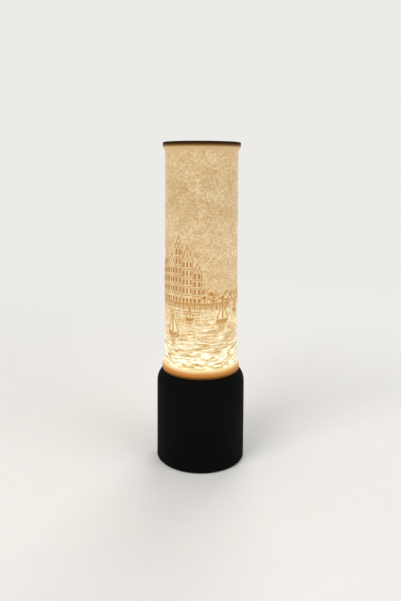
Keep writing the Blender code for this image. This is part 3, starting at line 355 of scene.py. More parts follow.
def finish(name, group, dark, light, scale, rough, bump, metallic=0.0, specular=0.5, glow=None):
    """A material: a surface group feeds the colour, the roughness and, through Bump, the normal."""
    material, tree, shader = new_material(name)
    surface = tree.nodes.new("ShaderNodeGroup")
    surface.node_tree = group
    given = {"Dark": (*dark, 1.0), "Light": (*light, 1.0), "Scale": scale}
    given.update({"Roughness Low": rough[0], "Roughness High": rough[1]})
    for label, value in given.items():
        surface.inputs[label].default_value = value
    feed(tree, surface.outputs["Color"], shader.inputs["Base Color"])
    feed(tree, surface.outputs["Roughness"], shader.inputs["Roughness"])
    feed(tree, bump_node(tree, surface.outputs["Height"], *bump), shader.inputs["Normal"])
    shader.inputs["Metallic"].default_value = metallic
    shader.inputs["Specular IOR Level"].default_value = specular
    if glow:
        feed(tree, surface.outputs["Color"], shader.inputs["Emission Color"])
        shader.inputs["Emission Strength"].default_value = glow
    return material


FINISHES = {slot: finish(slot, *values, **more) for slot, (*values, more) in FINISH_TABLE.items()}
print("finishes:", len(FINISHES))

# %% [markdown]
# The printed tube glows. Light from the bulb inside has to cross its wall, and the thicker the wall, the more of it is
# taken away, blue first. That is why thin parts look cream, thick lines tan and the thick bead at the bottom orange.
# A Color Ramp along the wall's thickness gives that colour. A second ramp along the height says how much light there is
# inside: most just above the base, where the bulb sits, and very little in the bead at the top. Its first stops paint
# shade on the lower bead's bottom edge, where it sits on the base's shoulder. A share of the whole lit colour also goes
# into the base colour, as painted light.

# %% Finish: glowing print
SHADE_LOW, SHADE_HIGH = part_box("shade_tube")
SHADE_HEIGHT = SHADE_HIGH.z - SHADE_LOW.z
THICKNESS_COLORS = (
    (0.00, (1.00, 0.95, 0.80)),
    (0.18, (0.88, 0.72, 0.46)),
    (0.36, (0.72, 0.51, 0.27)),
    (0.54, (0.60, 0.36, 0.145)),
    (0.70, (0.50, 0.245, 0.062)),
    (0.84, (0.44, 0.165, 0.026)),
    (1.00, (0.40, 0.13, 0.016)),
)
INSIDE_LIGHT_AND_CONTACT_SHADE = (
    # The first three stops are painted shade on the lower bead's bottom edge, where it meets the base's shoulder.
    (0.000, (0.10, 0.10, 0.10)),
    (0.006, (0.24, 0.25, 0.26)),
    (0.011, (0.62, 0.62, 0.62)),
    (0.016, (1.22, 1.14, 1.10)),
    (0.022, (1.26, 1.18, 1.06)),
    (0.042, (1.32, 1.58, 1.64)),
    (0.080, (1.22, 1.42, 1.58)),
    (0.115, (1.15, 1.28, 1.32)),
    (0.170, (1.08, 1.12, 1.08)),
    (0.240, (1.11, 1.15, 1.12)),
    (0.330, (1.03, 1.03, 1.03)),
    (0.600, (0.96, 0.96, 0.96)),
    (0.780, (0.89, 0.89, 0.88)),
    (0.977, (0.92, 0.91, 0.87)),
    (0.981, (0.52, 0.48, 0.40)),
    (0.985, (0.17, 0.15, 0.115)),
    (0.991, (0.055, 0.042, 0.028)),
    (1.000, (0.032, 0.025, 0.016)),
)
GLOW_SHARE = 0.66
PRINT_ROUGHNESS, PRINT_SPECULAR = 0.42, 0.22
RIPPLE, BLOTCH = 0.20, 0.16  # how much fine and coarse noise change the thickness
BLOTCH_STRETCH = (1.0, 1.0, 2.0)


def ramp(tree, value, stops):
    """A Color Ramp with the given (position, color) stops on a value output."""
    node = tree.nodes.new("ShaderNodeValToRGB")
    band = node.color_ramp
    while len(band.elements) < len(stops):
        band.elements.new(0.5)
    for element, (position, color) in zip(band.elements, stops):
        element.position = position
        element.color = (*color, 1.0)
    feed(tree, value, node.inputs["Fac"])
    return node.outputs["Color"]


def around_zero(tree, value, strength):
    """Noise that adds as much as it takes away."""
    return math_node(tree, "MULTIPLY", math_node(tree, "SUBTRACT", value, 0.5), strength)


def glowing_print():
    """The lit relief: colour by thickness and height; the larger part shines, and the rest is painted light in the base
    colour.
    """
    material, tree, shader = new_material("printed_warm_white")
    thickness = tree.nodes.new("ShaderNodeAttribute")
    thickness.attribute_name = "wall_thickness"
    place = object_coordinates(tree)
    fine = noise_node(tree, place, 1500.0, detail=3.0, roughness=0.7)
    coarse = noise_node(tree, object_coordinates(tree, BLOTCH_STRETCH), 420.0)
    uneven = math_node(tree, "ADD", around_zero(tree, fine, RIPPLE), around_zero(tree, coarse, BLOTCH))
    depth = math_node(tree, "ADD", thickness.outputs["Fac"], uneven)
    height = mapped(tree, height_of(tree, place), From_Min=SHADE_LOW.z, From_Max=SHADE_HIGH.z)
    light = ramp(tree, height, INSIDE_LIGHT_AND_CONTACT_SHADE)
    color = mixed_colors(tree, 1.0, ramp(tree, depth, THICKNESS_COLORS), light, "MULTIPLY")
    painted_glow_share = (1 - GLOW_SHARE, 1 - GLOW_SHARE, 1 - GLOW_SHARE, 1.0)
    feed(tree, color, shader.inputs["Emission Color"])
    shader.inputs["Emission Strength"].default_value = GLOW_SHARE
    # The base colour is a share of the glowing colour: painted light, so the tube looks lit under any lamp.
    feed(tree, mixed_colors(tree, 1.0, color, painted_glow_share, "MULTIPLY"), shader.inputs["Base Color"])
    shader.inputs["Roughness"].default_value = PRINT_ROUGHNESS
    # The specular level follows the same light up the tube: painted shade on the sheen at the darkened bead edges.
    feed(tree, math_node(tree, "MULTIPLY", light, PRINT_SPECULAR), shader.inputs["Specular IOR Level"])
    feed(tree, bump_node(tree, fine, 0.25, 0.0002), shader.inputs["Normal"])
    return material


FINISHES["printed_warm_white"] = glowing_print()
print("stops of light up the tube:", len(INSIDE_LIGHT_AND_CONTACT_SHADE))

# %% [markdown]
# Every solid that keeps its own shape gets its finish now. Its mesh is loose triangles with flat shading, which would
# show as facets on a round part. The mesh itself mustn't change, so a small Geometry Nodes modifier joins the
# triangles and shades smoothly across gentle angles, while real corners stay crisp.

# %% Smooth shading for round solids
CRISP_ANGLE = math.radians(32.0)
JOIN_DISTANCE = 1e-6


def smooth_by_angle():
    """Geometry nodes: join loose triangles, then smooth every edge that is flatter than the crisp angle."""
    group = bpy.data.node_groups.new("join_and_smooth", "GeometryNodeTree")
    for direction in ("INPUT", "OUTPUT"):
        group.interface.new_socket("Geometry", in_out=direction, socket_type="NodeSocketGeometry")
    given, made = group.nodes.new("NodeGroupInput"), group.nodes.new("NodeGroupOutput")
    merge = group.nodes.new("GeometryNodeMergeByDistance")
    merge.inputs["Distance"].default_value = JOIN_DISTANCE
    faces = group.nodes.new("GeometryNodeSetShadeSmooth")
    edges = group.nodes.new("GeometryNodeSetShadeSmooth")
    edges.domain = "EDGE"
    angle = group.nodes.new("GeometryNodeInputMeshEdgeAngle")
    flat = group.nodes.new("FunctionNodeCompare")
    flat.operation = "LESS_THAN"
    flat.inputs[1].default_value = CRISP_ANGLE
    feed(group, given.outputs[0], merge.inputs["Geometry"])
    feed(group, merge.outputs[0], faces.inputs["Geometry"])
    feed(group, faces.outputs[0], edges.inputs["Geometry"])
    feed(group, angle.outputs["Unsigned Angle"], flat.inputs[0])
    feed(group, flat.outputs[0], edges.inputs["Shade Smooth"])
    feed(group, edges.outputs[0], made.inputs[0])
    return group


SMOOTHING = smooth_by_angle()


def smoothed(obj):
    """Adds the smoothing modifier."""
    obj.modifiers.new("join_and_smooth", "NODES").node_group = SMOOTHING
    return obj


for part in frame["record"]["subparts"]:
    solid = nodes[part["node"]]
    solid.data.materials.clear()
    solid.data.materials.append(FINISHES[part["material_slot"]])
    smoothed(solid)
print("solids finished:", len(nodes))

# %% [markdown]
# Nearly every piece of this lamp is round, so one tool makes them all: a section, drawn as a chain of (radius, height)
# points, is spun once round the Z axis. The operator merges the seam, the points on the axis are merged after it, and
# the faces are turned outwards last.

# %% Helpers for turned pieces
WELD = 1e-7


RIGHT, FRONT = (1.0, 0.0), (0.0, -1.0)


def turned(section, steps, closed=False, start=RIGHT):
    """A bmesh with a section of (radius, z) points turned once round Z; closed joins its last point to its first."""
    bm = bmesh.new()
    points = [bm.verts.new((radius * start[0], radius * start[1], z)) for radius, z in section]
    edges = [bm.edges.new(pair) for pair in zip(points, points[1:])]
    if closed:
        edges.append(bm.edges.new((points[-1], points[0])))
    bmesh.ops.spin(
        bm, geom=points + edges, cent=(0, 0, 0), axis=(0, 0, 1), angle=2 * math.pi, steps=steps, use_merge=True
    )
    bmesh.ops.remove_doubles(bm, verts=bm.verts, dist=WELD)
    return bm


def made_object(name, bm, place=None):
    """An object from a bmesh, with its doubles merged, its faces outwards and its place in the mesh."""
    bmesh.ops.remove_doubles(bm, verts=bm.verts, dist=WELD)
    bmesh.ops.recalc_face_normals(bm, faces=bm.faces)
    if place is not None:
        bm.transform(place)
    open_edges = sum(1 for edge in bm.edges if not edge.is_manifold)
    mesh = bpy.data.meshes.new(name)
    bm.to_mesh(mesh)
    bm.free()
    print(name, "faces:", len(mesh.polygons), "open edges:", open_edges)
    return link(bpy.data.objects.new(name, mesh))


def settle(piece, body, finish_slot, *replaced):
    """Gives a piece its finish, hides the solids it stands for, and lets it ride on its body."""
    piece.data.materials.append(FINISHES[finish_slot])
    if replaced:
        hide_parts(*replaced)
    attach(piece, body)


def quarter(radius, height, start, steps=5):
    """(radius, z) points of a quarter ellipse that leaves start = (radius, z) level and ends upright."""
    turns = [step * math.pi / (2 * steps) for step in range(1, steps + 1)]
    return [(start[0] + radius * math.sin(turn), start[1] + height * (1 - math.cos(turn))) for turn in turns]


# %% [markdown]
# The relief tube. Its section is a chain of points from the bottom edge, over the lower bead, up the picture wall,
# over the upper bead and down the bore. A grid of small faces is needed where the picture is, because the picture is
# carved into it, but not in the bore. The sky needs fewer rows than the town and the water.

# %% Tube: section and spin
MM = 0.001
TUBE_RADIUS = 0.040
BORE_RADIUS = 0.037
BEAD_RADIUS = SHADE_HIGH.x
BEAD_FACE = 0.0046
BEAD_FLARE = 0.005
EDGE_ROUND = 0.0012
COLUMNS = 348
ROWS_LOW, ROWS_SKY = 176, 72
SKY_STARTS = SHADE_LOW.z + 0.150
EDGE_ROWS, FLARE_ROWS = 3, 5


def bead_section():
    """(radius, height above the edge) up one bead, from the bore's corner to the plain wall."""
    edge = (BEAD_RADIUS - EDGE_ROUND, 0.0)
    section = [(BORE_RADIUS, 0.0), edge, *quarter(EDGE_ROUND, EDGE_ROUND, edge, EDGE_ROWS), (BEAD_RADIUS, BEAD_FACE)]
    for step in range(1, FLARE_ROWS + 1):
        share = step / FLARE_ROWS
        drop = (1 - math.cos(math.pi * share)) / 2
        section.append((BEAD_RADIUS - (BEAD_RADIUS - TUBE_RADIUS) * drop, BEAD_FACE + BEAD_FLARE * share))
    return section


def tube_section():
    """The tube's closed section as (radius, z) points."""
    bead = bead_section()
    low = [(r, SHADE_LOW.z + h) for r, h in bead]
    high = [(r, SHADE_HIGH.z - h) for r, h in reversed(bead)]
    start, end = low[-1][1], high[0][1]
    wall = [(TUBE_RADIUS, start + (SKY_STARTS - start) * k / ROWS_LOW) for k in range(1, ROWS_LOW + 1)]
    wall += [(TUBE_RADIUS, SKY_STARTS + (end - SKY_STARTS) * k / ROWS_SKY) for k in range(1, ROWS_SKY)]
    return low + wall + high


tube = made_object("relief_tube", turned(tube_section(), COLUMNS, closed=True, start=FRONT))
tube.data.shade_smooth()

# %% [markdown]
# The picture: a quiet harbour town. It could be drawn as an image, but this lamp carries no image file: each house,
# tree and boat is a few lines with a width, laid on the unrolled tube in millimetres, across from the middle of the
# front and up from the tube's foot. A line is a ridge, because thick plastic is dark, and beside each ridge runs a
# shallow groove, because the maker's software sharpens edges and so leaves a bright line there. Everything is drawn
# into one array, level, which holds the thickness at each vertex, from 0 for the thinnest wall to 1.

# %% Picture: paper and pencils
GIRTH = 2 * math.pi * TUBE_RADIUS / MM
DARK_LINE, BRIGHT_LINE = 0.78, 0.04
RIDGE_TOP, RIDGE_FALL = 1.35, 0.75  # a ridge is flat on top where this passes 1
GROOVE_SHARE = 0.6  # of the line's width, and of the way to the bright shade
FAR_AWAY = 99.0


def unroll(mesh):
    """Coordinates of every vertex on the unrolled tube, in mm: across from the front's middle, up from the foot."""
    place = np.empty(len(mesh.vertices) * 3, dtype=np.float32)
    mesh.vertices.foreach_get("co", place)
    place = place.reshape(-1, 3).astype(float)
    across = np.arctan2(place[:, 0], -place[:, 1]) * TUBE_RADIUS / MM
    return place, across, (place[:, 2] - SHADE_LOW.z) / MM


tube_place, across_mm, up_mm = unroll(tube.data)
print("paper, mm:", round(GIRTH, 1), "by", round(float(up_mm.max()), 1))


def vertices_near(points, margin):
    """Indices of the vertices near some points on the paper, plus how far across and up they are."""
    (left, low), (right, high) = (tuple(map(pick, zip(*points))) for pick in (min, max))
    middle = (left + right) / 2
    shifted = (across_mm - middle + GIRTH / 2) % GIRTH - GIRTH / 2 + middle
    beside = (shifted > left - margin) & (shifted < right + margin)
    index = np.nonzero(beside & (up_mm > low - margin) & (up_mm < high + margin))[0]
    return index, shifted[index], up_mm[index]


def line_distance(u, v, start, end):
    """Distance from each (u, v) to the line between two points."""
    du, dv = end[0] - start[0], end[1] - start[1]
    share = np.clip(((u - start[0]) * du + (v - start[1]) * dv) / max(du * du + dv * dv, 1e-9), 0.0, 1.0)
    return np.hypot(u - start[0] - share * du, v - start[1] - share * dv)


def pencil(points, width=1.0, dark=DARK_LINE, bright=BRIGHT_LINE, shut=False):
    """A ridge along the points, with a groove on both sides of it."""
    if shut:
        points = [*points, points[0]]
    index, u, v = vertices_near(points, margin=2 * width + 1.0)
    distance = np.full(len(index), FAR_AWAY)
    for start, end in zip(points, points[1:]):
        distance = np.minimum(distance, line_distance(u, v, start, end))
    ridge = np.clip(RIDGE_TOP - distance / (width / 2) * RIDGE_FALL, 0.0, 1.0)
    groove = np.clip(1.0 - np.abs(distance - width) / (width * GROOVE_SHARE), 0.0, 1.0) * GROOVE_SHARE
    value = level[index]
    value = value + (bright - value) * groove * (ridge < 0.05)
    level[index] = value + (dark - value) * ridge


def brush(points, shade, strength=1.0, mottle=0.0, scale=0.5):
    """Fills a polygon with one shade, or mottles it like leaves."""
    index, u, v = vertices_near(points, margin=0.5)
    inside = np.zeros(len(index), dtype=bool)
    for (u0, v0), (u1, v1) in zip(points, [*points[1:], points[0]]):
        crosses = (v0 > v) != (v1 > v)
        slope = (u1 - u0) / (v1 - v0) if v1 != v0 else 0.0
        inside ^= crosses & (u < u0 + slope * (v - v0))
    index, u, v = index[inside], u[inside], v[inside]
    value = np.full(len(index), shade)
    if mottle:
        value = value + mottle * np.array([noise.noise(Vector((a * scale, b * scale, 7.3))) for a, b in zip(u, v)])
    level[index] = level[index] + (value - level[index]) * strength


# %% [markdown]
# Sky and water. The sky is a mottle of small patches, wider than they are high, as print lines run round the tube.
# The water is the same idea with stronger and longer patches, which break into ripples towards the viewer. Both are
# sums of noise, and each row of the tables is one layer of it.

# %% Picture: sky and water
WATER_LINE = 80.0
WALL_FOOT = (BEAD_FACE + BEAD_FLARE) / MM
WALL_TOP = SHADE_HEIGHT / MM - WALL_FOOT
SKY_LEVEL, WATER_LEVEL = 0.36, 0.31
SKY_NOISE = (  # strength, scale across, scale up, shift
    (0.19, 0.34, 0.62, (0.0, 0.0)),
    (0.17, 0.80, 1.25, (9.0, 0.0)),
    (0.09, 0.05, 0.09, (0.0, 4.0)),
)
SWELL_NOISE = ((0.5, 0.07, 0.50, (0.0, 0.0)), (0.9, 0.13, 0.95, (3.0, 0.0)))
CHOP_NOISE = ((0.26, 0.50, 1.6, (0.0, 8.0)),)
SWELL_FAR, SWELL_GROWTH = 0.22, 0.50


def noise_sum(x, y, z, table):
    """Layers of noise at a place on the tube, in mm."""
    return sum(
        strength * noise.noise(Vector((x * wide + shift[0], y * wide + shift[1], z * high)))
        for strength, wide, high, shift in table
    )


def sky_or_water(place, up):
    """The level of one vertex before anything is drawn. Swells grow clearer towards the tube's foot."""
    if up > WATER_LINE:
        return SKY_LEVEL + noise_sum(*place, SKY_NOISE)
    nearness = min(1.0, (WATER_LINE - up) / (WATER_LINE - WALL_FOOT))
    swell = (SWELL_FAR + SWELL_GROWTH * nearness) * noise_sum(*place, SWELL_NOISE)
    return WATER_LEVEL + swell + noise_sum(*place, CHOP_NOISE)


level = np.array([sky_or_water(place, up) for place, up in zip(tube_place / MM, up_mm)])
print("levels before drawing:", round(float(level.min()), 2), "to", round(float(level.max()), 2))


# %% [markdown]
# Hills stand behind the town: soft ridges, and in front of them lower ones that are mottled like woods. A long outline
# of many points keeps them from looking like triangles.

# %% Picture: hills
HILL_POINTS = 24
HILL_ROUNDNESS = 0.45
HILLS = (  # start, end, height, noise seed, shade, mottle
    (-6.0, 84.0, 30.0, 2.3, 0.36, 0.10),
    (60.0, 138.0, 33.0, 5.1, 0.37, 0.10),
    (-124.0, -70.0, 37.0, 8.7, 0.36, 0.10),
    (6.0, 62.0, 24.0, 12.9, 0.50, 0.75),
    (52.0, 112.0, 18.0, 3.7, 0.50, 0.75),
    (-120.0, -58.0, 21.0, 6.1, 0.50, 0.75),
)


def hill(start, end, height, seed, shade, mottle):
    """A range of hills between two places, with an outline from slow noise."""
    crest = []
    for step in range(HILL_POINTS + 1):
        share = step / HILL_POINTS
        slow = noise.noise(Vector((share * 4.3, seed, 0.0)))
        quick = noise.noise(Vector((share * 19.0, seed, 3.0)))
        rise = height * (0.62 + 0.6 * slow + 0.12 * quick) * math.sin(math.pi * share) ** HILL_ROUNDNESS
        crest.append((start + (end - start) * share, WATER_LINE + rise))
    brush([(start, WATER_LINE), *crest, (end, WATER_LINE)], shade, strength=0.8, mottle=mottle, scale=0.38)
    pencil(crest, width=0.9, dark=0.56)


for measures in HILLS:
    hill(*measures)
print("hills:", len(HILLS))

# %% [markdown]
# The town: tall gabled houses stand side by side on the quay. Each one is a wall, a gable, doors, rows of narrow
# windows and a chimney, and its measures come from one line of a table, so that no two are alike.

# %% Picture: houses
DOOR_SHARE = 0.55  # of a storey's height
SILL_SHARE, WINDOW_SHARE = 0.28, 0.48
CHIMNEY_HEIGHT = 3.2
HOUSES = (  # left, width, wall, roof, storeys, bays, shade
    (-61.0, 10.0, 34.0, 9.0, 4, 2, 0.42),
    (-50.5, 8.0, 46.0, 8.0, 5, 2, 0.52),
    (-42.0, 11.0, 38.0, 13.0, 4, 3, 0.38),
    (-30.5, 9.0, 58.0, 12.0, 6, 2, 0.50),
    (-21.0, 12.0, 45.0, 15.0, 5, 3, 0.40),
    (-8.5, 8.5, 33.0, 9.0, 4, 2, 0.52),
    (64.0, 10.0, 30.0, 9.0, 3, 2, 0.42),
    (74.5, 9.0, 42.0, 11.0, 5, 2, 0.50),
    (84.0, 12.0, 34.0, 13.0, 4, 3, 0.40),
    (104.0, 9.0, 27.0, 9.0, 3, 2, 0.50),
    (113.5, 11.0, 38.0, 12.0, 4, 3, 0.42),
    (-112.0, 10.0, 32.0, 11.0, 4, 2, 0.46),
    (-96.0, 9.0, 25.0, 9.0, 3, 2, 0.42),
)


def upright(across, low, high, **style):
    """A pencil line straight up."""
    pencil([(across, low), (across, high)], **style)


def house(left, width, wall, roof, storeys, bays, shade):
    """A gabled house front on the quay."""
    right, eaves, ridge = left + width, WATER_LINE + wall, WATER_LINE + wall + roof
    middle = (left + right) / 2
    storey, bay = wall / storeys, width / bays
    front = [(left, WATER_LINE), (left, eaves), (middle, ridge), (right, eaves), (right, WATER_LINE)]
    brush(front, shade, strength=0.8, mottle=0.10, scale=0.8)
    pencil(front)
    pencil([(left - 0.8, eaves - 0.6), (middle, ridge + 0.9), (right + 0.8, eaves - 0.6)], width=1.1, dark=0.62)
    for column in range(bays):
        side = left + bay * (column + 0.5)
        upright(side, WATER_LINE + 0.6, WATER_LINE + DOOR_SHARE * storey, width=2.0, dark=0.80)
        for floor_number in range(1, storeys):
            sill = WATER_LINE + storey * (floor_number + SILL_SHARE)
            upright(side, sill, sill + WINDOW_SHARE * storey, width=1.3, dark=0.92)
    for floor_number in range(1, storeys):
        ledge = WATER_LINE + storey * floor_number
        pencil([(left, ledge), (right, ledge)], width=0.9, dark=0.60, bright=0.10)
    upright(middle, eaves + 0.2 * roof, eaves + 0.45 * roof, dark=0.74)
    chimney = eaves + 0.38 * roof
    upright(right - 0.2 * width, chimney, chimney + CHIMNEY_HEIGHT, width=1.3, dark=0.66)


for measures in HOUSES:
    house(*measures)
print("houses:", len(HOUSES))

# %% [markdown]
# Trees stand between the houses. A crown is a ring of points pushed in and out by noise, mottled like leaves.

# %% Picture: trees
CROWN_POINTS = 18
CROWN_STRETCH = 1.25  # height over width
TREES = (  # middle, radius, height
    (3.5, 4.4, 10.0),
    (10.5, 3.4, 8.0),
    (16.5, 2.6, 6.5),
    (-64.0, 4.2, 9.0),
    (57.0, 4.0, 9.5),
    (98.5, 4.6, 11.0),
    (-83.0, 4.2, 10.0),
    (-75.0, 3.2, 8.0),
    (-101.0, 3.4, 9.0),
)


def tree(middle, radius, height, seed):
    """A round crown on a short trunk."""
    crown = []
    for step in range(CROWN_POINTS):
        turn = 2 * math.pi * step / CROWN_POINTS
        side, rise = math.cos(turn), math.sin(turn)
        reach = radius * (1.0 + 0.22 * noise.noise(Vector((side * 1.6, rise * 1.6, seed))))
        crown.append((middle + reach * side, WATER_LINE + height + CROWN_STRETCH * reach * rise))
    upright(middle, WATER_LINE, WATER_LINE + height, width=1.2)
    brush(crown, 0.58, strength=0.9, mottle=0.75)
    pencil(crown, width=0.8, dark=0.60, bright=0.16, shut=True)


for number, measures in enumerate(TREES):
    tree(*measures, 1.7 * number)
print("trees:", len(TREES))

# %% [markdown]
# The quay is a thick double line with posts under it, which parts the town from the water.

# %% Picture: quay
QUAYS = ((-70.0, 34.0), (54.0, 128.0), (-120.0, -88.0))
QUAY_TOP, QUAY_FOOT, POST_FOOT = WATER_LINE - 0.6, WATER_LINE - 4.2, WATER_LINE - 6.5
POST_STEP = 6.0


def quay(start, end):
    """A double line at the water's edge, with posts under it."""
    pencil([(start, WATER_LINE), (end, WATER_LINE)], width=1.1, dark=0.70)
    brush([(start, QUAY_FOOT), (start, QUAY_TOP), (end, QUAY_TOP), (end, QUAY_FOOT)], 0.60, strength=0.8, mottle=0.15)
    pencil([(start, QUAY_FOOT - 0.2), (end, QUAY_FOOT - 0.2)], width=0.9, dark=0.64)
    post = start + POST_STEP / 2
    while post < end:
        upright(post, POST_FOOT, WATER_LINE - 0.5, width=0.9, dark=0.74, bright=0.3)
        post += POST_STEP


for ends in QUAYS:
    quay(*ends)
print("quays:", len(QUAYS))

# %% [markdown]
# Still water shows a tall house upside down, and ripples break it up: level strokes below each house are enough.

# %% Picture: reflections
STROKE_START, STROKE_STEP = 8.5, 3.1  # below the water line, and from stroke to stroke
WALL_PER_STROKE = 7


def reflection(left, width, strokes):
    """Broken level strokes in the water under a house, fainter further down."""
    for step in range(strokes):
        sway = 1.5 * noise.noise(Vector((left * 0.37, step * 1.9, 5.1)))
        inset = width * (0.08 + 0.05 * step)
        depth = WATER_LINE - STROKE_START - STROKE_STEP * step
        ends = (left + inset + sway, depth), (left + width - inset + sway, depth)
        pencil(ends, width=1.2, dark=0.60 - 0.03 * step, bright=0.14)


for left, width, wall, *rest in HOUSES:
    reflection(left, width, round(wall / WALL_PER_STROKE))
print("reflections:", len(HOUSES))

# %% [markdown]
# A boat is a hull, a mast and two sails, drawn once about its own middle and then placed, sized and turned.

# %% Picture: boats and gulls
HULL = ((-7.0, 1.6), (-5.6, -0.9), (4.6, -0.9), (7.6, 2.1))
MAIN_SAIL = ((0.3, 2.6), (0.3, 21.0), (-6.2, 3.4))
JIB = ((1.3, 3.0), (1.0, 18.5), (6.9, 3.2))
MAST = ((0.4, 1.5), (0.4, 23.5))
BOATS = (  # middle, water, size, heading
    (24.0, 60.0, 1.05, 1),
    (45.0, 69.0, 0.62, -1),
    (-33.0, 44.0, 1.15, -1),
    (-12.0, 63.0, 0.60, 1),
    (88.0, 52.0, 1.10, -1),
    (-84.0, 56.0, 1.00, 1),
    (-112.0, 62.0, 0.70, -1),
    (118.0, 66.0, 0.65, 1),
)
GULLS = ((-6.0, 176.0), (2.0, 183.0), (11.0, 172.0), (38.0, 190.0), (-92.0, 178.0), (104.0, 181.0))
WING = ((2.6, 1.1), (0.9, 1.3), (0.0, 0.0))


def sailing_boat(middle, water, size, heading):
    """A small boat under two sails; heading 1 points its bow to the right, -1 to the left."""

    def placed(points):
        return [(middle + heading * size * a, water + size * b) for a, b in points]

    for sail, shade in ((MAIN_SAIL, 0.16), (JIB, 0.20)):
        brush(placed(sail), shade, strength=0.85)
    for sail in (MAIN_SAIL, JIB):
        pencil(placed(sail), width=0.8, bright=0.24, shut=True)
    pencil(placed(MAST), width=0.9)
    brush(placed(HULL), 0.72)
    pencil(placed(HULL), dark=0.76, shut=True)
    for step in range(1, 5):
        half = size * (6.5 - step)
        depth = water - size * (0.8 + 1.7 * step)
        slip = 0.7 * (-1) ** step
        pencil([(middle - half + slip, depth), (middle + half * 0.6 + slip, depth)], width=0.9, dark=0.62, bright=0.2)


for boat in BOATS:
    sailing_boat(*boat)
for middle, height in GULLS:
    for side in (-1, 1):
        pencil([(middle + side * a, height + b) for a, b in WING], width=0.8, dark=0.55)
print("levels after drawing:", round(float(level.min()), 2), "to", round(float(level.max()), 2))

# %% [markdown]
# Carving. The level of each vertex moves it in from the tube's full radius, thin parts the most, but only on the wall
# between the two beads. The same level goes into an attribute for the material, and the beads, which are much thicker
# than the wall, get the highest values.

# %% Tube: carve
RELIEF_DEPTH = 0.0008
THICKEST = 0.8  # lines at this level and above stand at the tube's full radius
FADE_MM = 1.2  # over which the relief runs out towards the beads
PLAIN_LEVEL, BORE_LEVEL = 0.34, 0.15


def carve(tube):
    """Moves the wall's vertices inwards by the drawing and keeps the thickness for the material."""
    radius = np.hypot(tube_place[:, 0], tube_place[:, 1])
    outer = radius > (BORE_RADIUS + TUBE_RADIUS) / 2
    wall = outer & (up_mm > WALL_FOOT) & (up_mm < WALL_TOP)
    fade = np.clip(np.minimum(up_mm - WALL_FOOT, WALL_TOP - up_mm) / FADE_MM, 0.0, 1.0)
    thinness = 1.0 - np.clip(level, 0.0, THICKEST) / THICKEST
    inward = np.where(wall, RELIEF_DEPTH * thinness * fade, 0.0)
    moved = tube_place.copy()
    moved[:, :2] *= ((radius - inward) / radius)[:, None]
    tube.data.vertices.foreach_set("co", moved.astype(np.float32).ravel())
    proud = np.clip((radius - TUBE_RADIUS) / (BEAD_RADIUS - TUBE_RADIUS), 0.0, 1.0)
    low_bead = 0.33 + 0.52 * proud
    high_bead = 0.37 + 0.17 * np.clip((proud - 0.7) / 0.3, 0.0, 1.0)
    bead_value = np.where(up_mm < WATER_LINE, low_bead, high_bead)
    wall_value = np.clip(level, 0.0, 1.0) * fade + PLAIN_LEVEL * (1 - fade)
    value = np.where(wall, wall_value, np.where(outer, bead_value, BORE_LEVEL))
    attribute = tube.data.attributes.new("wall_thickness", "FLOAT", "POINT")
    attribute.data.foreach_set("value", value.astype(np.float32))
    tube.data.update()


carve(tube)
tube.data.materials.append(FINISHES["printed_warm_white"])
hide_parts("shade_tube")
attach(tube, "shade")
print("tube carved, depth mm:", RELIEF_DEPTH / MM)

# %% [markdown]
# The small hard pieces come next. The solid model has them at their right size, but with plain outlines, because it is
# also used for collisions. Here each one is turned again with a finer section, and gets what the plain one lacks: the
# cross recess in a screw's head, a rolled thread, a rounded edge. Each takes its size and place from the box of the
# solid that it stands for.
#
# Screws: a pan head has a low dome and a cross recess. The section is turned first and left open at the head's flat
# top; a cross of twelve corners is laid inside that opening, the gap between the two loops is filled, and the cross is
# pushed down and drawn in. A Boolean modifier could cut the recess, but filling between two loops gives clean faces.
# Every screw is turned by its own angle, as no two are ever tightened alike.

# %% Screws
SCREW_STEPS = 28
HEAD_HEIGHT = 0.0016
FLAT_SHARE = 0.72  # of the head's radius, before the dome starts
ARM_SHARE, REACH_SHARE = 0.13, 0.56  # the recess's half width and reach, of the head's radius
RECESS_TAPER, RECESS_SHARE = 0.72, 0.62  # of the recess's size, of the head's height
SCREWS = (  # node, shank's radius, own turn, head faces the back
    ("cover_screw_1", 0.0015, 0.3, False),
    ("cover_screw_2", 0.0015, 1.1, False),
    ("cover_screw_3", 0.0015, 0.7, False),
    ("cover_screw_4", 0.0015, 1.4, False),
    ("ballast_bolt", 0.0025, 0.5, False),
    ("inlet_screw_1", 0.0015, 0.2, True),
    ("inlet_screw_2", 0.0015, 0.9, True),
)


def end_of(node, faces_back=False):
    """Takes what is drawn upwards from the origin to a node: up from its bottom, or forwards from its back end."""
    low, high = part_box(node)
    middle = (low + high) / 2
    if faces_back:
        return Matrix.Translation((middle.x, high.y, middle.z)) @ Matrix.Rotation(math.pi / 2, 4, "X")
    return Matrix.Translation((middle.x, middle.y, low.z))


def screw_section(head, shank, length):
    """(radius, z) points from the edge of the head's flat top, at z 0, down to the tip on the axis."""
    flat = FLAT_SHARE * head
    return [
        (flat, 0.0),
        *quarter(head - flat, 0.7 * HEAD_HEIGHT, (flat, 0.0)),
        (head, 0.96 * HEAD_HEIGHT),
        (head - 0.04 * HEAD_HEIGHT, HEAD_HEIGHT),
        (shank, HEAD_HEIGHT),
        (shank, length - 0.5 * shank),
        (0.6 * shank, length),
        (0.0, length),
    ]


def cross_outline(half_width, reach):
    """The twelve corners of a cross."""
    arm = ((reach, -half_width), (reach, half_width), (half_width, half_width))
    turns = [Matrix.Rotation(quarter_turn * math.pi / 2, 2) for quarter_turn in range(4)]
    return [turn @ Vector(corner) for turn in turns for corner in arm]


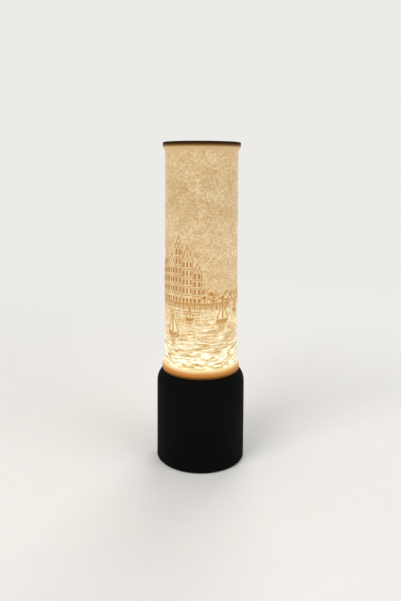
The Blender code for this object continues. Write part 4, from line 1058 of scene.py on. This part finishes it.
def sink_recess(bm, head):
    """Fills the open top of a screw's head round a cross and pushes the cross down."""
    rim = [edge for edge in bm.edges if edge.is_boundary]
    outline = cross_outline(ARM_SHARE * head, REACH_SHARE * head)
    corners = [bm.verts.new((*corner, 0.0)) for corner in outline]
    cross = [bm.edges.new(pair) for pair in zip(corners, corners[1:] + corners[:1])]
    bmesh.ops.triangle_fill(bm, edges=rim + cross, use_beauty=True, use_dissolve=False, normal=(0.0, 0.0, -1.0))
    walls = bmesh.ops.extrude_edge_only(bm, edges=cross)["geom"]
    for vert in [item for item in walls if isinstance(item, bmesh.types.BMVert)]:
        vert.co = (RECESS_TAPER * vert.co.x, RECESS_TAPER * vert.co.y, RECESS_SHARE * HEAD_HEIGHT)
    bmesh.ops.edgeloop_fill(bm, edges=[item for item in walls if isinstance(item, bmesh.types.BMEdge)])


for node, shank, turn, faces_back in SCREWS:
    low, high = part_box(node)
    across, across_too, length = sorted(high - low)
    bm = turned(screw_section(across_too / 2, shank, length), SCREW_STEPS)
    sink_recess(bm, across_too / 2)
    place = end_of(node, faces_back) @ Matrix.Rotation(turn, 4, "Z")
    settle(smoothed(made_object(node + "_fine", bm, place)), "base", "zinc_plated_steel", node)

# %% [markdown]
# Feet and pins. A stick-on rubber foot has a round lower edge and a shallow dish, which helps it grip. An inlet's pin
# ends in a round tip, so that a plug finds its way.

# %% Feet and inlet pins
FOOT_STEPS = 48
FOOT_EDGE = 0.0006
DISH_DEPTH = 0.00015
DISH_FLAT, DISH_RIM = 0.50, 0.56  # of the foot's radius
TIP_FLAT, TIP_LENGTH = 0.2, 0.9  # of the pin's radius

for node in ("foot_1", "foot_2", "foot_3", "foot_4"):
    low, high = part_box(node)
    radius, top = (high.x - low.x) / 2, high.z - low.z
    edge = (radius - FOOT_EDGE, 0.0)
    dish = [(0.0, DISH_DEPTH), (DISH_FLAT * radius, DISH_DEPTH), (DISH_RIM * radius, 0.0)]
    section = [*dish, edge, *quarter(FOOT_EDGE, FOOT_EDGE, edge, 4), (radius, top), (0.0, top)]
    foot = made_object(node + "_fine", turned(section, FOOT_STEPS), end_of(node))
    settle(smoothed(foot), "base", "foot_rubber", node)

for node in ("inlet_pin_1", "inlet_pin_2"):
    low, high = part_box(node)
    radius, length = (high.x - low.x) / 2, high.y - low.y
    flat = (TIP_FLAT * radius, 0.0)
    tip = quarter((1 - TIP_FLAT) * radius, TIP_LENGTH * radius, flat)
    bm = turned([(0.0, 0.0), flat, *tip, (radius, length), (0.0, length)], SCREW_STEPS)
    settle(smoothed(made_object(node + "_fine", bm, end_of(node, True))), "base", "nickel_plate", node)

# %% [markdown]
# Threads. The bulb's cap, the holder's screw sleeve and the top of its skirt are threaded. A thread is a wave that
# runs round and up at the same time: each vertex of a finely ringed tube moves in by a share that depends on its
# height less its turn. The wave fades out at both ends, so that the thread runs out into plain metal as a rolled one
# does.

# %% Threads
THREAD_STEPS = 48


def wave_in(bm, least_radius, bottom, top, pitch, depth, run_out):
    """Moves the vertices outside least_radius, between two heights, in by a right-handed thread's wave."""
    for vert in bm.verts:
        radius = math.hypot(vert.co.x, vert.co.y)
        if radius < least_radius or not bottom < vert.co.z < top:
            continue
        turn = math.atan2(vert.co.y, vert.co.x) / (2 * math.pi)
        fade = min(1.0, (vert.co.z - bottom) / run_out, (top - vert.co.z) / run_out)
        wave = 0.5 - 0.5 * math.cos(2 * math.pi * ((vert.co.z - bottom) / pitch - turn))
        share = 1 - depth * fade * wave / radius
        vert.co.x *= share
        vert.co.y *= share


def ringed(radius, bottom, top, spacing):
    """(radius, z) points up a wall, close enough together to carry a thread."""
    count = max(1, round((top - bottom) / spacing))
    return [(radius, bottom + (top - bottom) * step / count) for step in range(count + 1)]


# %% [markdown]
# The cap is sheet metal, so its thread shows inside and out. The holder's sleeve, further down, is made the same way.

# %% Bulb cap
CAP_PITCH = 0.0028
SHEET_METAL = 0.00025
SHEET_RUN_OUT = 0.0012
CAP_DEPTH, SLEEVE_DEPTH = 0.00056, 0.00036
CAP_PLAIN_BELOW, CAP_PLAIN_ABOVE, SLEEVE_PLAIN = 0.0008, 0.0042, 0.0010
SLEEVE_CLEARANCE = 0.00005
SLEEVE_HEIGHT = 0.0165
TAIL_WIDTH, TAIL_OVERLAP = 0.0030, 0.0002


def rolled_sheet(radius, bottom, top, plain_below, plain_above, depth):
    """A threaded shell of sheet metal, whose inside follows its outside."""
    outer_wall = ringed(radius, bottom, top, CAP_PITCH / 10)
    inner_wall = ringed(radius - SHEET_METAL, bottom, top, CAP_PITCH / 10)
    bm = turned([*outer_wall, *reversed(inner_wall)], THREAD_STEPS, closed=True)
    wave_in(bm, 0.0, bottom + plain_below, top - plain_above, CAP_PITCH, depth, SHEET_RUN_OUT)
    return bm


cap_low, cap_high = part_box("bulb_cap")
cap = rolled_sheet(cap_high.x, cap_low.z, cap_high.z, CAP_PLAIN_BELOW, CAP_PLAIN_ABOVE, CAP_DEPTH)
settle(smoothed(made_object("bulb_cap_threaded", cap)), "bulb", "nickel_plate", "bulb_cap")

# %% [markdown]
# The skirt is a thick moulding, so its thread is cut into the outside alone, and only above the flange, where the
# clamping ring runs on it.

# %% Holder skirt
SKIRT_BORE, SKIRT_RADIUS = 0.0116, 0.0140
FLANGE_TOP, FLANGE_BOTTOM = 0.0947, 0.0922
SKIRT_PITCH, SKIRT_DEPTH, SKIRT_RUN_OUT = 0.0015, 0.00055, 0.0005
THREAD_FOOT = 0.0975
LEAST_THREADED = 0.0130  # vertices nearer to the axis belong to the bore
CHAMFER, BREAK = 0.0004, 0.0003  # the larger and the smaller edges

skirt_low, skirt_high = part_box("holder_skirt")
section = [
    (SKIRT_BORE, skirt_low.z),
    (SKIRT_RADIUS - CHAMFER, skirt_low.z),
    (SKIRT_RADIUS, skirt_low.z + CHAMFER),
    (SKIRT_RADIUS, FLANGE_BOTTOM),
    (skirt_high.x - BREAK, FLANGE_BOTTOM),
    (skirt_high.x, FLANGE_BOTTOM + BREAK),
    (skirt_high.x, FLANGE_TOP),
    (SKIRT_RADIUS, FLANGE_TOP),
    *ringed(SKIRT_RADIUS, THREAD_FOOT, skirt_high.z - CHAMFER, SKIRT_PITCH / 8),
    (SKIRT_RADIUS - CHAMFER, skirt_high.z),
    (SKIRT_BORE + BREAK, skirt_high.z),
    (SKIRT_BORE, skirt_high.z - BREAK),
]
skirt = turned(section, THREAD_STEPS, closed=True)
wave_in(skirt, LEAST_THREADED, THREAD_FOOT, skirt_high.z - CHAMFER / 2, SKIRT_PITCH, SKIRT_DEPTH, SKIRT_RUN_OUT)
settle(smoothed(made_object("holder_skirt_threaded", skirt)), "base", "phenolic", "holder_skirt")

# %% [markdown]
# The holder's own screw sleeve is the same sheet metal as the cap, seen when the bulb is out. Its thread stays clear
# of the cap's crests, and a tail of the same metal goes down to the neutral lead.

# %% Holder sleeve
sleeve_low, sleeve_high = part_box("holder_sleeve")
sleeve_bottom, sleeve_radius = sleeve_high.z - SLEEVE_HEIGHT, sleeve_high.x - SLEEVE_CLEARANCE
sleeve = rolled_sheet(sleeve_radius, sleeve_bottom, sleeve_high.z, SLEEVE_PLAIN, SLEEVE_PLAIN, SLEEVE_DEPTH)
tail_top = sleeve_bottom + TAIL_OVERLAP
tail = bmesh.ops.create_cube(sleeve, size=1.0)["verts"]
bmesh.ops.scale(sleeve, verts=tail, vec=(SHEET_METAL, TAIL_WIDTH, tail_top - sleeve_low.z))
bmesh.ops.translate(sleeve, verts=tail, vec=(SHEET_METAL / 2 - sleeve_radius, 0.0, (tail_top + sleeve_low.z) / 2))
settle(smoothed(made_object("holder_sleeve_threaded", sleeve)), "base", "nickel_plate", "holder_sleeve")

# %% [markdown]
# The bulb's globe and housing, turned again with a fine round outline. A narrow groove parts them, as two mouldings
# always show where they meet.

# %% Bulb
BULB_STEPS = 96
GLOBE_RADIUS, GLOBE_WALL = 0.0225, 0.0012
GLOBE_ROWS, BELL_ROWS = 28, 20
RIM_INSET, RIM_RISE = 0.0006, 0.0003
NECK_RADIUS, NECK_HEIGHT, SPIGOT_RADIUS = 0.0085, 0.006, 0.00605
HOUSING_WALL, LEDGE = 0.002, 0.0014
FIT_GAP = 0.0003
GROOVE_INSET, GROOVE_LIP, GROOVE_HEIGHT = 0.0004, 0.0009, 0.0005

globe_low, globe_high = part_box("bulb_globe")
globe_middle = globe_high.z - GLOBE_RADIUS
housing_low, housing_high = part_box("bulb_housing")
neck_bottom = cap_high.z + FIT_GAP
neck_top = neck_bottom + NECK_HEIGHT
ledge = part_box("bulb_led_board")[0].z - FIT_GAP
bore = housing_high.x - HOUSING_WALL


def meridian(radius, low_z):
    """(radius, z) points up a globe from a height to its top."""
    start = math.asin((low_z - globe_middle) / radius)
    turns = [start + (math.pi / 2 - start) * step / GLOBE_ROWS for step in range(GLOBE_ROWS)]
    side = [(radius * math.cos(turn), globe_middle + radius * math.sin(turn)) for turn in turns]
    return [*side, (0.0, globe_middle + radius)]


def bell(start_radius, end_radius, bottom, top):
    """(radius, z) points up a bell that leaves its neck quickly and ends upright."""
    shares = [step / BELL_ROWS for step in range(BELL_ROWS + 1)]
    spread = end_radius - start_radius
    return [(start_radius + spread * math.sin(s * math.pi / 2), bottom + (top - bottom) * s) for s in shares]


outside = meridian(GLOBE_RADIUS, globe_low.z + RIM_RISE)
inside = meridian(GLOBE_RADIUS - GLOBE_WALL, globe_low.z)
globe = turned([*reversed(inside), (GLOBE_RADIUS - RIM_INSET, globe_low.z), *outside], BULB_STEPS)
settle(smoothed(made_object("bulb_globe_fine", globe)), "bulb", "opal_globe", "bulb_globe")

section = [
    (0.0, housing_low.z),
    (SPIGOT_RADIUS, housing_low.z),
    (SPIGOT_RADIUS, neck_bottom),
    (NECK_RADIUS - CHAMFER, neck_bottom),
    (NECK_RADIUS, neck_bottom + CHAMFER),
    *bell(NECK_RADIUS, housing_high.x, neck_top, housing_high.z - GROOVE_LIP),
    (housing_high.x - GROOVE_INSET, housing_high.z - GROOVE_HEIGHT),
    (housing_high.x - GROOVE_INSET, housing_high.z),
    (bore, housing_high.z),
    (bore, ledge),
    *reversed(bell(NECK_RADIUS - HOUSING_WALL, bore - LEDGE, neck_top, ledge)),
    (0.0, neck_top),
]
housing = made_object("bulb_housing_fine", turned(section, BULB_STEPS))
settle(smoothed(housing), "bulb", "white_plastic", "bulb_housing")

# %% [markdown]
# The rocker carries the two marks that every switch has: a bar on the end that is pressed for on, a ring on the other.
# They are thin white inlays. Each is drawn flat and then laid on the rocker by a ray to its surface, point by point, so
# that it follows the dish of the rocker's face.

# %% Marks on the rocker
MARK_PROUD, MARK_SUNK = 0.00004, 0.00020
BEHIND = 0.060  # where the rays start, outside the base
BAR_SIZE = (0.0006, 0.0029, 1.0)
BAR_RISE, RING_DROP = 0.0040, 0.0042  # from the rocker's middle
RING_RADII = (0.00116, 0.00140, 0.00164)
RING_STEPS = 36

rocker_mesh = nodes["switch_rocker"].data
rocker_surface = BVHTree.FromPolygons(
    [vert.co for vert in rocker_mesh.vertices], [face.vertices for face in rocker_mesh.polygons]
)
rocker_low, rocker_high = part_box("switch_rocker")
rocker_middle = (rocker_low.z + rocker_high.z) / 2


def rocker_mark(name, bm, height):
    """Stands a flat drawing upright, presses it onto the rocker's face and gives it thickness."""
    bm.transform(Matrix.Translation((0.0, 0.0, height)) @ Matrix.Rotation(math.pi / 2, 4, "X"))
    for vert in bm.verts:
        hit = rocker_surface.ray_cast(Vector((vert.co.x, BEHIND, vert.co.z)), Vector((0.0, -1.0, 0.0)))[0]
        vert.co.y = hit.y + MARK_PROUD
    sunk = bmesh.ops.extrude_face_region(bm, geom=list(bm.faces))["geom"]
    moved = [item for item in sunk if isinstance(item, bmesh.types.BMVert)]
    bmesh.ops.translate(bm, verts=moved, vec=(0.0, -MARK_PROUD - MARK_SUNK, 0.0))
    settle(smoothed(made_object(name, bm)), "rocker", "white_plastic")


bar = bmesh.new()
bmesh.ops.create_grid(bar, x_segments=3, y_segments=12, size=0.5)
bmesh.ops.scale(bar, verts=bar.verts, vec=BAR_SIZE)
rocker_mark("rocker_mark_on", bar, rocker_middle + BAR_RISE)
ring = turned([(radius, 0.0) for radius in RING_RADII], RING_STEPS)
rocker_mark("rocker_mark_off", ring, rocker_middle - RING_DROP)

# %% [markdown]
# The floor is a plain pale disc, which takes the lamp's shadow. Further out it fades into the colour of the sky, so
# that no horizon cuts through the picture.

# %% Floor
FLOOR_RADIUS, FLOOR_SEGMENTS = 4.0, 96
FADE_STARTS, FADE_ENDS = 0.30, 1.10


def pale_floor():
    """Pale paint round the lamp, which fades into the sky further out, for the camera and mirrors."""
    material = finish(
        "pale_floor", grain, (0.82, 0.81, 0.79), (0.86, 0.85, 0.83), 40.0, (0.7, 0.85), (0.02, 0.0002), specular=0.2
    )
    tree = material.node_tree
    sky = tree.nodes.new("ShaderNodeEmission")
    sky.inputs["Color"].default_value = PALE
    length = tree.nodes.new("ShaderNodeVectorMath")
    length.operation = "LENGTH"
    feed(tree, object_coordinates(tree), length.inputs[0])
    far = mapped(tree, length.outputs["Value"], From_Min=FADE_STARTS, From_Max=FADE_ENDS)
    far.node.interpolation_type = "SMOOTHSTEP"
    mix = tree.nodes.new("ShaderNodeMixShader")
    feed(tree, math_node(tree, "MULTIPLY", far, seen_rays(tree)), mix.inputs[0])
    feed(tree, tree.nodes["Principled BSDF"].outputs[0], mix.inputs[1])
    feed(tree, sky.outputs[0], mix.inputs[2])
    feed(tree, mix.outputs[0], tree.nodes["Material Output"].inputs["Surface"])
    return material


floor_bm = bmesh.new()
bmesh.ops.create_circle(floor_bm, cap_ends=True, segments=FLOOR_SEGMENTS, radius=FLOOR_RADIUS)
floor = made_object("floor", floor_bm)
floor.data.materials.append(pale_floor())
